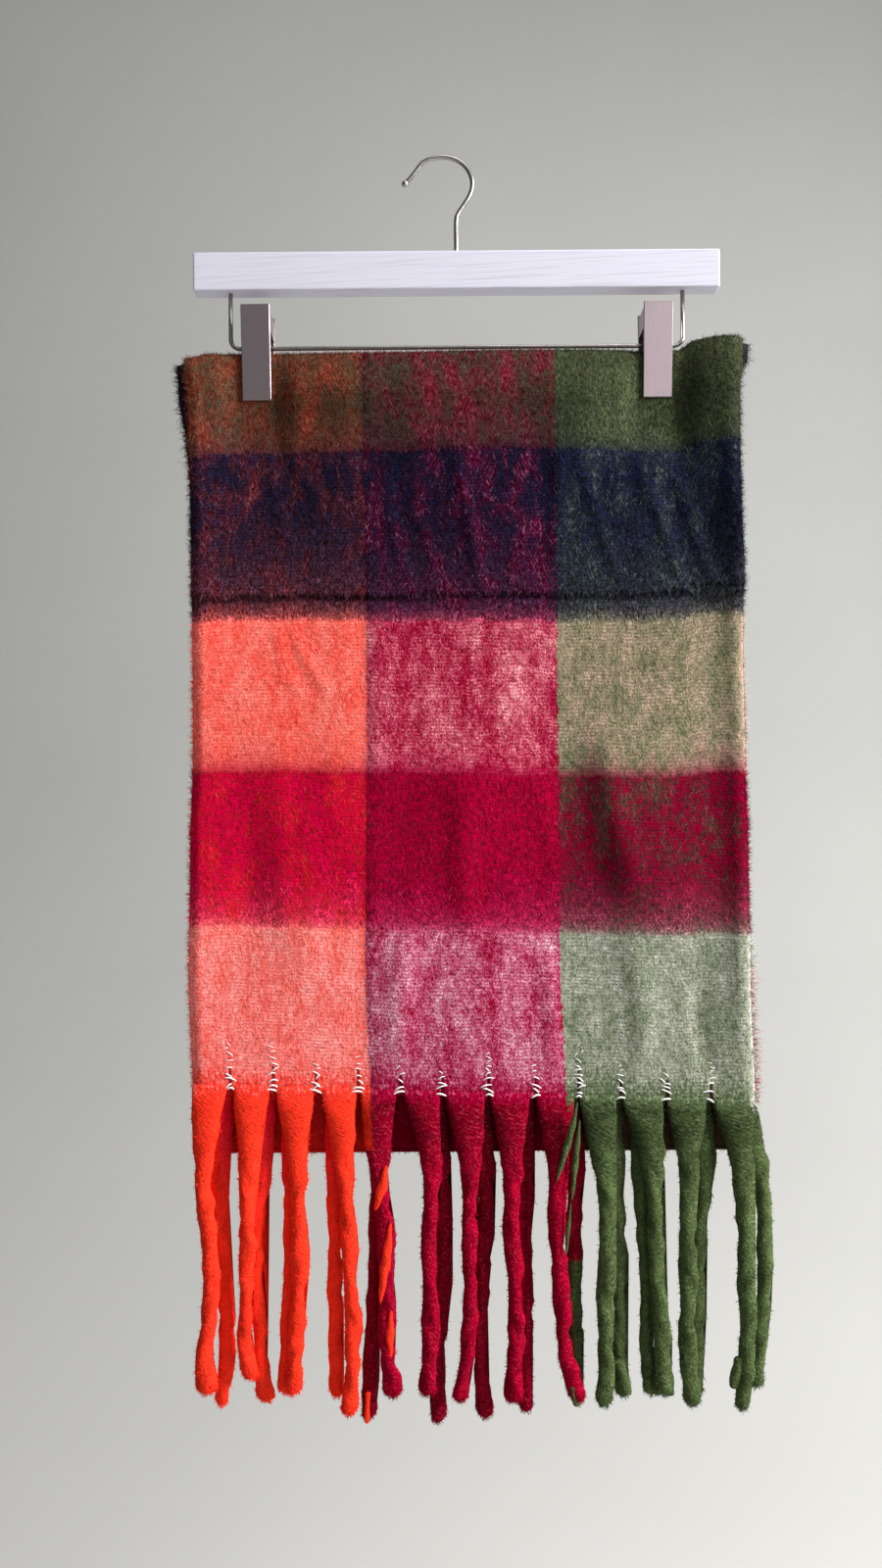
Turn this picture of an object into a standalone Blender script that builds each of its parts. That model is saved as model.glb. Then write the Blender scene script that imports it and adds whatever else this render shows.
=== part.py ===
"""Fringed blanket scarf, folded to four layers and held on a wooden clip hanger.

Metres, +Z up, +X to the right, the front faces -Y. The origin is the inside top of the
hanger hook's crook, on the rail that would carry it. The hanger's mid-plane is Y = 0.
"""

import math
from collections import namedtuple

import bmesh
import bpy

GAP = 0.0003  # between pieces that touch

# Hanger bar, hook and rod
BAR_LENGTH = 0.360
BAR_DEPTH = 0.014
BAR_HEIGHT = 0.0262
BAR_EDGE = 0.0012
BAR_CENTRE_X = 0.0066
BAR_TOP_Z = -0.0655
WIRE_RADIUS = 0.0015
HOLE_DEPTH = 0.014  # how far hook and rod go into the bar
HOOK_TIP_RADIUS = 0.0022
ROD_Z = -0.1294
ROD_END_INSET = 0.0245  # from the bar's end to the rod's leg
ROD_BEND_RADIUS = 0.0065

# Clips
CLIP_X = {"left": -0.1302, "right": 0.1431}
CLIP_WIDTH = 0.0197
CLIP_LENGTH = 0.0636
CLIP_PLATE = 0.0016
CLIP_EDGE = 0.0004
JAW_TIP_Z = -0.1670
JAW_TIP_Y = 0.0060  # inner face of a plate at its tip
JAW_SLOPE = 0.0945  # how the plates open upwards
EAR_TOP_Z = -0.1070
EAR_LOW_Z = -0.1204
SADDLE_WIDTH = 0.0120
SADDLE_LOW_Z = -0.1320

# Cloth
CLOTH = 0.0024
FREE_HALF_DEPTH = 0.0070  # from the folded stack's middle to its outer layers
TURN_HEIGHT = 0.0075
EDGE_TOP_Z = -0.1400  # where the side edges reach the top turn
BOTTOM_TURN_Z = -0.6841
BOTTOM_TURN_END = 0.0030  # how far the outer stretch goes up again after its bottom turn
EDGE_LEFT_Z = -0.6370  # the first woven end, lower at its right
EDGE_RIGHT_Z = -0.6490
SECOND_EDGE_DROP = 0.0012  # the second woven end below the first
STRIP_HEIGHT = 0.0055
MIN_ROW = 0.0040  # between an end and the nearest shared row
CREASE_Z = -0.3010
CREASE_DEPTH = 0.0012
CREASE_REACH = 0.0060
TURN_STEPS = 6

# Tassels
TASSEL_ROOT_INSET = 0.0030  # how far a root goes up into its strip
FRONT_TASSEL_Y = -0.0134
SECOND_TASSEL_Y = -0.0036

# The cloth's inner columns, one on each side of each clip; the side edges add one at each end
COLUMNS = (
    -0.1580, -0.1417, -0.1187, -0.0890, -0.0570, -0.0220, 0.0120, 0.0440, 0.0740, 0.1040,
    0.1316, 0.1546, 0.1660, 0.1770, 0.1890,
)
# Heights of the rows that all four layers share, close together by the clips and the crease
LEVELS = (
    -0.1500, -0.1600, -0.1700, -0.1820, -0.1980, -0.2200, -0.2520, -0.2900, CREASE_Z, -0.3120,
    -0.3450, -0.3900, -0.4350, -0.4800, -0.5250, -0.5700, -0.6100, -0.6500,
)

# Height of the top turn across the scarf
Crest = namedtuple("Crest", "x z")
CRESTS = (
    Crest(-0.190, -0.1395),
    Crest(-0.176, -0.1378),
    Crest(-0.163, -0.1345),
    Crest(-0.145, -0.1335),
    Crest(0.000, -0.1336),
    Crest(0.148, -0.1336),
    Crest(0.159, -0.1330),
    Crest(0.170, -0.1272),
    Crest(0.185, -0.1258),
    Crest(0.210, -0.1264),
)

# Side edges of the four layers, front to back, down the scarf
Edge = namedtuple("Edge", "z left right")
FRONT_EDGES = (
    Edge(-0.120, -0.1745, 0.2020),
    Edge(-0.160, -0.1763, 0.2005),
    Edge(-0.360, -0.1752, 0.2023),
    Edge(-0.560, -0.1800, 0.2032),
    Edge(-0.650, -0.1775, 0.2055),
)
SECOND_EDGES = (
    Edge(-0.120, -0.1890, 0.2065),
    Edge(-0.150, -0.1880, 0.2065),
    Edge(-0.215, -0.1800, 0.2030),
    Edge(-0.360, -0.1745, 0.2040),
    Edge(-0.560, -0.1760, 0.2105),
    Edge(-0.650, -0.1730, 0.2110),
)
THIRD_EDGES = (
    Edge(-0.120, -0.1885, 0.2080),
    Edge(-0.150, -0.1885, 0.2070),
    Edge(-0.215, -0.1830, 0.2045),
    Edge(-0.360, -0.1740, 0.2040),
    Edge(-0.690, -0.1740, 0.2030),
)
BACK_EDGES = (
    Edge(-0.120, -0.1745, 0.2010),
    Edge(-0.160, -0.1750, 0.1990),
    Edge(-0.360, -0.1760, 0.2010),
    Edge(-0.560, -0.1770, 0.2035),
    Edge(-0.690, -0.1740, 0.2030),
)

# Soft hollows (plus) and swells (minus) that the whole stack shares
Sway = namedtuple("Sway", "x z reach_x reach_z depth")
SWAYS = (
    Sway(0.1660, -0.160, 0.0140, 0.055, 0.0060),
    Sway(0.2030, -0.170, 0.0150, 0.075, -0.0085),
    Sway(0.0060, -0.190, 0.0850, 0.055, -0.0045),
    Sway(-0.1760, -0.170, 0.0180, 0.050, -0.0040),
    Sway(-0.0650, -0.400, 0.0300, 0.170, -0.0022),
    Sway(0.0750, -0.460, 0.0320, 0.150, 0.0024),
    Sway(0.1600, -0.380, 0.0280, 0.120, -0.0022),
    Sway(-0.1500, -0.520, 0.0300, 0.110, 0.0020),
    Sway(0.0100, -0.600, 0.0450, 0.070, -0.0016),
)

# Middle line of each tassel: x at five heights, then its tip; widths are the root's and the rope's
Tassel = namedtuple("Tassel", "root x690 x730 x770 x810 tip_x tip_z width rope")
FRONT_TASSELS = (
    Tassel(-0.1665, -0.1700, -0.1670, -0.1650, -0.1695, -0.1690, -0.842, 0.0210, 0.0105),
    Tassel(-0.1375, -0.1400, -0.1400, -0.1410, -0.1420, -0.1380, -0.832, 0.0215, 0.0100),
    Tassel(-0.1080, -0.1060, -0.1050, -0.1060, -0.1080, -0.1100, -0.843, 0.0225, 0.0105),
    Tassel(-0.0780, -0.0740, -0.0720, -0.0700, -0.0690, -0.0720, -0.857, 0.0210, 0.0105),
    Tassel(-0.0510, -0.0510, -0.0470, -0.0460, -0.0460, -0.0420, -0.845, 0.0215, 0.0110),
    Tassel(-0.0215, -0.0150, -0.0170, -0.0170, -0.0170, -0.0190, -0.844, 0.0215, 0.0105),
    Tassel(0.0080, 0.0115, 0.0100, 0.0105, 0.0090, 0.0030, -0.848, 0.0240, 0.0105),
    Tassel(0.0385, 0.0395, 0.0390, 0.0410, 0.0410, 0.0380, -0.849, 0.0240, 0.0105),
    Tassel(0.0695, 0.0705, 0.0690, 0.0720, 0.0740, 0.0830, -0.849, 0.0230, 0.0105),
    Tassel(0.0985, 0.1015, 0.1030, 0.1020, 0.1020, 0.1010, -0.852, 0.0220, 0.0105),
    Tassel(0.1290, 0.1350, 0.1360, 0.1370, 0.1400, 0.1400, -0.845, 0.0240, 0.0105),
    Tassel(0.1590, 0.1590, 0.1580, 0.1580, 0.1570, 0.1600, -0.852, 0.0240, 0.0105),
    Tassel(0.1905, 0.1955, 0.1960, 0.1970, 0.1980, 0.1940, -0.855, 0.0240, 0.0110),
)
SECOND_TASSELS = (
    Tassel(-0.1620, -0.1590, -0.1600, -0.1580, -0.1560, -0.1605, -0.855, 0.0200, 0.0100),
    Tassel(-0.1320, -0.1310, -0.1350, -0.1350, -0.1330, -0.1300, -0.853, 0.0200, 0.0100),
    Tassel(-0.1050, -0.1120, -0.1120, -0.1130, -0.1150, -0.1170, -0.846, 0.0210, 0.0095),
    Tassel(-0.0760, -0.0820, -0.0820, -0.0820, -0.0820, -0.0810, -0.850, 0.0200, 0.0095),
    Tassel(-0.0490, -0.0510, -0.0530, -0.0540, -0.0570, -0.0600, -0.865, 0.0200, 0.0100),
    Tassel(-0.0180, -0.0090, -0.0080, -0.0080, -0.0110, -0.0130, -0.868, 0.0200, 0.0100),
    Tassel(0.0130, 0.0210, 0.0210, 0.0190, 0.0170, 0.0200, -0.865, 0.0220, 0.0095),
    Tassel(0.0430, 0.0480, 0.0480, 0.0490, 0.0490, 0.0480, -0.861, 0.0220, 0.0095),
    Tassel(0.0740, 0.0830, 0.0820, 0.0820, 0.0820, 0.0810, -0.848, 0.0210, 0.0095),
    Tassel(0.1040, 0.1100, 0.1120, 0.1130, 0.1130, 0.1140, -0.851, 0.0210, 0.0095),
    Tassel(0.1340, 0.1290, 0.1290, 0.1320, 0.1310, 0.1340, -0.850, 0.0220, 0.0095),
    Tassel(0.1650, 0.1720, 0.1690, 0.1660, 0.1660, 0.1650, -0.850, 0.0210, 0.0100),
    Tassel(0.1960, 0.2080, 0.2120, 0.2120, 0.2090, 0.2060, -0.845, 0.0210, 0.0105),
)
TASSEL_HEIGHTS = (-0.690, -0.730, -0.770, -0.810)

# Cross-sections down a tassel: share of its way, how far its flat root has drawn in to the round
# rope (0 to 1), and how full the rope is
Ring = namedtuple("Ring", "share drawn full")
TASSEL_RINGS = (
    Ring(0.03, 0.05, 1.00),
    Ring(0.09, 0.45, 1.00),
    Ring(0.19, 0.95, 1.00),
    Ring(0.32, 1.00, 1.05),
    Ring(0.46, 1.00, 0.98),
    Ring(0.60, 1.00, 1.04),
    Ring(0.75, 1.00, 0.98),
    Ring(0.89, 1.00, 0.92),
    Ring(1.00, 1.00, 0.45),
)
ROOT_THICKNESS = 0.0018

# Middle line of the hook's wire from its ball tip to the bar
Bend = namedtuple("Bend", "x z")
HOOK_BENDS = (
    Bend(-0.0283, -0.0166),
    Bend(-0.0246, -0.0128),
    Bend(-0.0200, -0.0070),
    Bend(-0.0160, -0.0023),
    Bend(-0.0098, 0.0006),
    Bend(-0.0010, 0.0015),
    Bend(0.0068, -0.0003),
    Bend(0.0135, -0.0052),
    Bend(0.0174, -0.0125),
    Bend(0.0178, -0.0195),
    Bend(0.0152, -0.0265),
    Bend(0.0106, -0.0333),
    Bend(0.0073, -0.0390),
    Bend(0.0066, -0.0450),
    Bend(0.0066, -0.0560),
)

FINISHES = {
    "cloth_outer": ((0.48, 0.06, 0.09), 0.95, 0.0),
    "cloth_inner": ((0.42, 0.05, 0.10), 0.95, 0.0),
    "fringe": ((0.55, 0.05, 0.08), 0.95, 0.0),
    "paint": ((0.82, 0.81, 0.88), 0.45, 0.0),
    "wire": ((0.42, 0.40, 0.38), 0.30, 1.0),
    "plate": ((0.46, 0.40, 0.42), 0.35, 1.0),
}


# ---------------------------------------------------------------- helpers


def finish(name):
    """A Principled material of one colour."""
    found = bpy.data.materials.get(name)
    if found:
        return found
    colour, roughness, metallic = FINISHES[name]
    material = bpy.data.materials.new(name)
    material.use_nodes = True
    shader = material.node_tree.nodes["Principled BSDF"]
    shader.inputs["Base Color"].default_value = (*colour, 1.0)
    shader.inputs["Roughness"].default_value = roughness
    shader.inputs["Metallic"].default_value = metallic
    return material


def new_collection(name):
    collection = bpy.data.collections.new(name)
    bpy.context.scene.collection.children.link(collection)
    return collection


def place(name, data, collection, material=None):
    piece = bpy.data.objects.new(name, data)
    collection.objects.link(piece)
    if material:
        data.materials.append(finish(material))
    return piece


def mesh_from(shape, name):
    mesh = bpy.data.meshes.new(name)
    shape.to_mesh(mesh)
    shape.free()
    return mesh


def mix(low, high, share):
    return low + (high - low) * share


def ease(value):
    """0 to 1 with soft ends."""
    value = min(1.0, max(0.0, value))
    return value * value * (3.0 - 2.0 * value)


def look_up(rows, at, key, column):
    """A column of a table, read between its rows; rows run one way in their key column."""
    ordered = sorted(rows, key=lambda row: getattr(row, key))
    if at <= getattr(ordered[0], key):
        return getattr(ordered[0], column)
    for low, high in zip(ordered, ordered[1:]):
        start = getattr(low, key)
        end = getattr(high, key)
        if at <= end:
            share = ease((at - start) / (end - start))
            return mix(getattr(low, column), getattr(high, column), share)
    return getattr(ordered[-1], column)


def through(points, steps):
    """A smooth curve (Catmull-Rom) through points of any number of coordinates."""
    padded = [points[0], *points, points[-1]]
    line = []
    for before, start, end, after in zip(padded, padded[1:], padded[2:], padded[3:]):
        for step in range(steps):
            t = step / steps
            line.append(tuple(
                0.5 * (2 * b + (c - a) * t + (2 * a - 5 * b + 4 * c - d) * t * t
                       + (3 * b - a - 3 * c + d) * t ** 3)
                for a, b, c, d in zip(before, start, end, after)
            ))
    line.append(tuple(points[-1]))
    return line


def wire(name, line, collection, material):
    """A round wire along a line of points, made a mesh with welded caps."""
    curve = bpy.data.curves.new(name, "CURVE")
    curve.dimensions = "3D"
    curve.bevel_depth = WIRE_RADIUS
    curve.bevel_resolution = 2
    curve.use_fill_caps = True
    spline = curve.splines.new("POLY")
    spline.points.add(len(line) - 1)
    for point, (x, y, z) in zip(spline.points, line):
        point.co = (x, y, z, 1.0)
    guide = place(name + "_line", curve, collection)
    shape = bmesh.new()
    shape.from_mesh(bpy.data.meshes.new_from_object(
        guide.evaluated_get(bpy.context.evaluated_depsgraph_get())))
    bmesh.ops.remove_doubles(shape, verts=shape.verts, dist=0.00001)
    bmesh.ops.recalc_face_normals(shape, faces=shape.faces)
    bpy.data.objects.remove(guide)
    return place(name, mesh_from(shape, name), collection, material)


def box(name, low, high, collection, material=None):
    shape = bmesh.new()
    bmesh.ops.create_cube(shape, size=1.0)
    for vert in shape.verts:
        vert.co = [mix(a, b, c + 0.5) for a, b, c in zip(low, high, vert.co)]
    return place(name, mesh_from(shape, name), collection, material)


def bevel(piece, width, segments=2):
    modifier = piece.modifiers.new("edges", "BEVEL")
    modifier.width = width
    modifier.segments = segments
    modifier.limit_method = "ANGLE"


def combine(piece, other, operation, cutters):
    """A Boolean with a piece that stays in the cutters' collection."""
    for collection in list(other.users_collection):
        collection.objects.unlink(other)
    cutters.objects.link(other)
    other.hide_render = True
    other.display_type = "WIRE"
    modifier = piece.modifiers.new(operation.lower(), "BOOLEAN")
    modifier.operation = operation
    modifier.object = other


def drill(name, centre, length, along, cutters):
    """A round cutter for a wire's hole; along is X or Z."""
    shape = bmesh.new()
    radius = WIRE_RADIUS + GAP
    bmesh.ops.create_cone(shape, cap_ends=True, segments=16, radius1=radius, radius2=radius, depth=length)
    if along == "X":
        for vert in shape.verts:
            vert.co = (vert.co.z, vert.co.x, -vert.co.y)
    for vert in shape.verts:
        vert.co = [a + b for a, b in zip(vert.co, centre)]
    bmesh.ops.recalc_face_normals(shape, faces=shape.faces)
    return place(name, mesh_from(shape, name), cutters)


# ---------------------------------------------------------------- how the cloth hangs


def jaw_face(z):
    """Inner face of a clip's plate, from the mid-plane."""
    return JAW_TIP_Y + JAW_SLOPE * (z - JAW_TIP_Z)


def held(x, z):
    """1 where a clip holds the stack, falling to 0 around it."""
    best = 0.0
    for centre in CLIP_X.values():
        beside = 1.0 - ease((abs(x - centre) - 0.0115) / 0.030)
        below = 1.0 - ease((JAW_TIP_Z - 0.003 - z) / 0.050)
        best = max(best, beside * below)
    return best


def half_depth(x, z):
    """From the stack's middle to the middle of its outer layers."""
    pinched = jaw_face(z) - GAP - CLOTH / 2
    return mix(FREE_HALF_DEPTH, pinched, held(x, z))


def sway(x, z):
    """How far the whole stack stands behind the mid-plane."""
    total = 0.0
    for row in SWAYS:
        across = (x - row.x) / row.reach_x
        down = (z - row.z) / row.reach_z
        total += row.depth * math.exp(-across * across - down * down)
    return total * (1.0 - held(x, z))


def crease(z):
    """The sharp line that the folded scarf kept from its shelf."""
    return CREASE_DEPTH * math.exp(-abs(z - CREASE_Z) / CREASE_REACH)


def front_edge_z(x):
    """The first woven end hangs lower at its right."""
    left = FRONT_EDGES[-1].left
    right = FRONT_EDGES[-1].right
    return mix(EDGE_LEFT_Z, EDGE_RIGHT_Z, (x - left) / (right - left))


def second_edge_z(x):
    return front_edge_z(x) - SECOND_EDGE_DROP


def column_x(edges, z, index):
    """X of a column: a side edge for the first and the last, else its place in the table."""
    if index == 0:
        return look_up(edges, z, "z", "left")
    if index == len(COLUMNS) + 1:
        return look_up(edges, z, "z", "right")
    return COLUMNS[index - 1]


def rows_between(start, end):
    """The shared heights from start to end, with both."""
    low = min(start, end) + MIN_ROW
    high = max(start, end) - MIN_ROW
    inside = [level for level in LEVELS if low < level < high]
    return [start, *sorted(inside, reverse=start > end), end]


def fall(edges, layer, index, start, end):
    """Points down or up one hanging layer; layer is -1 in front to +1 behind."""
    points = []
    for z in rows_between(start, end):
        x = column_x(edges, z, index)
        y = sway(x, z) + layer * half_depth(x, z) + crease(z)
        points.append((x, y, z))
    return points


def top_centre(x):
    """Height where the layers leave the vertical and turn over."""
    return look_up(CRESTS, x, "x", "z") - CLOTH / 2 - TURN_HEIGHT


def top_turn(front_edges, back_edges, index, layer):
    """Half a turn over the top from the front, at the layer's own width."""
    points = []
    low = top_centre(column_x(front_edges, EDGE_TOP_Z, index))
    front_x = column_x(front_edges, low, index)
    back_x = column_x(back_edges, low, index)
    for step in range(1, TURN_STEPS):
        turn = math.pi * step / TURN_STEPS
        x = mix(front_x, back_x, step / TURN_STEPS)
        y = sway(x, low) - half_depth(x, low) * layer * math.cos(turn)
        points.append((x, y, low + TURN_HEIGHT * layer * math.sin(turn)))
    return points


def cloth(name, columns, collection, material):
    """A wall of cloth on a grid of middle points, one list of points for each column."""
    shape = bmesh.new()
    grid = [[shape.verts.new(point) for point in column] for column in columns]
    for left, right in zip(grid, grid[1:]):
        for row in range(len(left) - 1):
            shape.faces.new((left[row], right[row], right[row + 1], left[row + 1]))
    piece = place(name, mesh_from(shape, name), collection, material)
    wall = piece.modifiers.new("wall", "SOLIDIFY")
    wall.thickness = CLOTH
    wall.offset = 0.0
    wall.use_even_offset = True
    return piece


# ---------------------------------------------------------------- the scarf


def bottom_turn(index):
    """Half a turn from the back layer forward to the third layer."""
    low = BOTTOM_TURN_Z + CLOTH / 2 + FREE_HALF_DEPTH / 3
    x = column_x(BACK_EDGES, low, index)
    points = []
    for step in range(1, TURN_STEPS + 1):
        turn = math.pi * step / TURN_STEPS
        y = sway(x, low) + FREE_HALF_DEPTH * (2 + math.cos(turn)) / 3
        points.append((x, y, low - FREE_HALF_DEPTH * math.sin(turn) / 3))
    points.append((x, y, low + BOTTOM_TURN_END))
    return points


def outer_turn(collection):
    """Front layer, over the top, back layer and round the bottom to the third layer."""
    columns = []
    for index in range(len(COLUMNS) + 2):
        end = front_edge_z(column_x(FRONT_EDGES, EDGE_LEFT_Z, index)) + STRIP_HEIGHT
        top = top_centre(column_x(FRONT_EDGES, EDGE_TOP_Z, index))
        low = BOTTOM_TURN_Z + CLOTH / 2 + FREE_HALF_DEPTH / 3
        column = fall(FRONT_EDGES, -1.0, index, end, top)
        column += top_turn(FRONT_EDGES, BACK_EDGES, index, 1.0)
        column += fall(BACK_EDGES, 1.0, index, top, low)
        column += bottom_turn(index)
        columns.append(column)
    return cloth("scarf_outer_turn", columns, collection, "cloth_outer")


def inner_turn(collection):
    """Second layer, over the top inside the first turn, and the third layer."""
    columns = []
    for index in range(len(COLUMNS) + 2):
        top = top_centre(column_x(SECOND_EDGES, EDGE_TOP_Z, index))
        low = BOTTOM_TURN_Z + CLOTH / 2 + FREE_HALF_DEPTH / 3 + BOTTOM_TURN_END + GAP
        end = second_edge_z(column_x(SECOND_EDGES, EDGE_LEFT_Z, index)) + STRIP_HEIGHT
        column = fall(SECOND_EDGES, -1 / 3, index, end, top)
        column += top_turn(SECOND_EDGES, THIRD_EDGES, index, 1 / 3)
        column += fall(THIRD_EDGES, 1 / 3, index, top, low)
        columns.append(column)
    return cloth("scarf_inner_turn", columns, collection, "cloth_inner")


def tassel(shape, row, root_z, layer, rope_y):
    """One four-sided tassel: a flat root that draws in to a rope and tapers at its tip."""
    line = [(row.root, root_z)]
    line += [(getattr(row, f"x{round(-z * 1000)}"), z) for z in TASSEL_HEIGHTS]
    line.append((row.tip_x, row.tip_z))
    steps = 8
    smooth = through(line, steps)
    rings = [Ring(0.0, 0.0, 1.0), *TASSEL_RINGS]
    loops = []
    for ring in rings:
        if ring.share == 0.0:
            x, z = row.root, root_z + TASSEL_ROOT_INSET
        else:
            wanted = mix(root_z, row.tip_z, ring.share)
            x, z = min(smooth, key=lambda point: abs(point[1] - wanted))
        stack_y = sway(x, max(z, root_z)) + layer * FREE_HALF_DEPTH
        y = mix(stack_y, rope_y, ease(ring.drawn))
        wide = mix(row.width, row.rope, ease(ring.drawn)) * ring.full / 2
        thick = mix(ROOT_THICKNESS, row.rope * 0.86, ease(ring.drawn)) * ring.full / 2
        corners = ((-1, -1), (1, -1), (1, 1), (-1, 1))
        loops.append([shape.verts.new((x + a * wide, y + b * thick, z)) for a, b in corners])
    for upper, lower in zip(loops, loops[1:]):
        for side in range(4):
            turn = (side + 1) % 4
            shape.faces.new((upper[side], lower[side], lower[turn], upper[turn]))
    shape.faces.new(loops[0])
    shape.faces.new(reversed(loops[-1]))


def fringe(name, rows, edges, layer, rope_y, edge_z, collection, cutters):
    """A narrow strip of the cloth's end with its tassels fused to it."""
    columns = []
    for index in range(len(COLUMNS) + 2):
        x = column_x(edges, EDGE_LEFT_Z, index)
        low = edge_z(x)
        y = sway(x, low) + layer * FREE_HALF_DEPTH
        columns.append([(x, y, low), (x, y, low + STRIP_HEIGHT - GAP)])
    strip = cloth(name, columns, collection, "fringe")
    shape = bmesh.new()
    for row in rows:
        tassel(shape, row, edge_z(row.root), layer, rope_y)
    bmesh.ops.recalc_face_normals(shape, faces=shape.faces)
    strands = place(name + "_strands", mesh_from(shape, name + "_strands"), cutters)
    combine(strip, strands, "UNION", cutters)
    return strip


# ---------------------------------------------------------------- the hanger


def hanger_bar(collection, cutters):
    half = BAR_LENGTH / 2
    low = (BAR_CENTRE_X - half, -BAR_DEPTH / 2, BAR_TOP_Z - BAR_HEIGHT)
    high = (BAR_CENTRE_X + half, BAR_DEPTH / 2, BAR_TOP_Z)
    bar = box("hanger_bar", low, high, collection, "paint")
    bevel(bar, BAR_EDGE)
    for side, x in zip(("left", "right"), rod_legs()):
        hole = drill("rod_hole_" + side, (x, 0.0, low[2]), 2 * HOLE_DEPTH, "Z", cutters)
        combine(bar, hole, "DIFFERENCE", cutters)
    hole = drill("hook_hole", (HOOK_BENDS[-1].x, 0.0, BAR_TOP_Z), 2 * HOLE_DEPTH, "Z", cutters)
    combine(bar, hole, "DIFFERENCE", cutters)
    return bar


def hanger_hook(collection, cutters):
    line = through([(bend.x, 0.0, bend.z) for bend in HOOK_BENDS], 2)
    line.append((HOOK_BENDS[-1].x, 0.0, BAR_TOP_Z - HOLE_DEPTH + GAP))
    hook = wire("hanger_hook", line, collection, "wire")
    ball = bmesh.new()
    bmesh.ops.create_uvsphere(ball, u_segments=12, v_segments=8, radius=HOOK_TIP_RADIUS)
    for vert in ball.verts:
        vert.co = [a + b for a, b in zip(vert.co, line[0])]
    combine(hook, place("hook_ball", mesh_from(ball, "hook_ball"), cutters), "UNION", cutters)
    return hook


def rod_legs():
    """The X of the rod's two legs."""
    reach = BAR_LENGTH / 2 - ROD_END_INSET
    return BAR_CENTRE_X - reach, BAR_CENTRE_X + reach


def hanger_rod(collection):
    top = BAR_TOP_Z - BAR_HEIGHT + HOLE_DEPTH - GAP
    bend_z = ROD_Z + ROD_BEND_RADIUS
    line = []
    for x, inward in zip(rod_legs(), (1, -1)):
        leg = [(x, 0.0, top)]
        for step in range(7):
            turn = math.pi / 2 * step / 6
            reach = ROD_BEND_RADIUS * (1 - math.cos(turn))
            leg.append((x + inward * reach, 0.0, bend_z - ROD_BEND_RADIUS * math.sin(turn)))
        line += leg if inward == 1 else reversed(leg)
    return wire("hanger_rod", line, collection, "wire")


def clip_plate(side, face, collection):
    """A flat plate leaning out at its top; face is -1 in front and +1 behind."""
    half = CLIP_LENGTH / 2
    low = (-CLIP_WIDTH / 2, -CLIP_PLATE / 2, -half)
    high = (CLIP_WIDTH / 2, CLIP_PLATE / 2, half)
    name = f"clip_{side}_{'front' if face < 0 else 'back'}"
    plate = box(name, low, high, collection, "plate")
    lean = math.atan(JAW_SLOPE)
    middle_z = JAW_TIP_Z + half * math.cos(lean)
    middle_y = jaw_face(middle_z) + CLIP_PLATE / 2 / math.cos(lean)
    plate.location = (CLIP_X[side], face * middle_y, middle_z)
    plate.rotation_euler = (-face * lean, 0.0, 0.0)
    bevel(plate, CLIP_EDGE)
    return plate


def wedge(name, x, width, low_z, high_z, slack, collection, material=None):
    """A block that fills the space between the two plates."""
    block = box(name, (x - width / 2, -0.5, low_z), (x + width / 2, 0.5, high_z), collection, material)
    for vert in block.data.vertices:
        side = 1.0 if vert.co.y > 0 else -1.0
        vert.co.y = side * (jaw_face(vert.co.z) - slack)
    return block


def clip_spring(side, collection, cutters):
    """The spring's housing between the plates, with the saddle that slides on the rod."""
    x = CLIP_X[side]
    housing = wedge(f"clip_{side}_spring", x, CLIP_WIDTH - 2 * GAP, EAR_LOW_Z, EAR_TOP_Z, GAP,
                    collection, "plate")
    saddle = wedge(f"saddle_{side}", x, SADDLE_WIDTH, SADDLE_LOW_Z, EAR_LOW_Z + 0.002, 2 * GAP, cutters)
    combine(housing, saddle, "UNION", cutters)
    hole = drill(f"saddle_hole_{side}", (x, 0.0, ROD_Z), 2 * CLIP_WIDTH, "X", cutters)
    combine(housing, hole, "DIFFERENCE", cutters)
    return housing


# ---------------------------------------------------------------- build


def main():
    for piece in list(bpy.data.objects):
        bpy.data.objects.remove(piece)
    parts = new_collection("blanket_scarf_on_hanger")
    cutters = new_collection("cutters")
    hanger_bar(parts, cutters)
    hanger_hook(parts, cutters)
    hanger_rod(parts)
    for side in CLIP_X:
        clip_plate(side, -1, parts)
        clip_plate(side, 1, parts)
        clip_spring(side, parts, cutters)
    outer_turn(parts)
    inner_turn(parts)
    fringe("fringe_front", FRONT_TASSELS, FRONT_EDGES, -1.0, FRONT_TASSEL_Y, front_edge_z, parts,
           cutters)
    fringe("fringe_second", SECOND_TASSELS, SECOND_EDGES, -1 / 3, SECOND_TASSEL_Y, second_edge_z,
           parts, cutters)


main()
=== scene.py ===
"""Brushed block-check blanket scarf with rope tassels, held in the clips of a white hanger.

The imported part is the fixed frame. The cloth, its nap, its fringes and the hanger's finished
pieces are built around it, in metres: +Z up, +X to the right, the front faces -Y.
"""

import math
from collections import namedtuple

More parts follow.
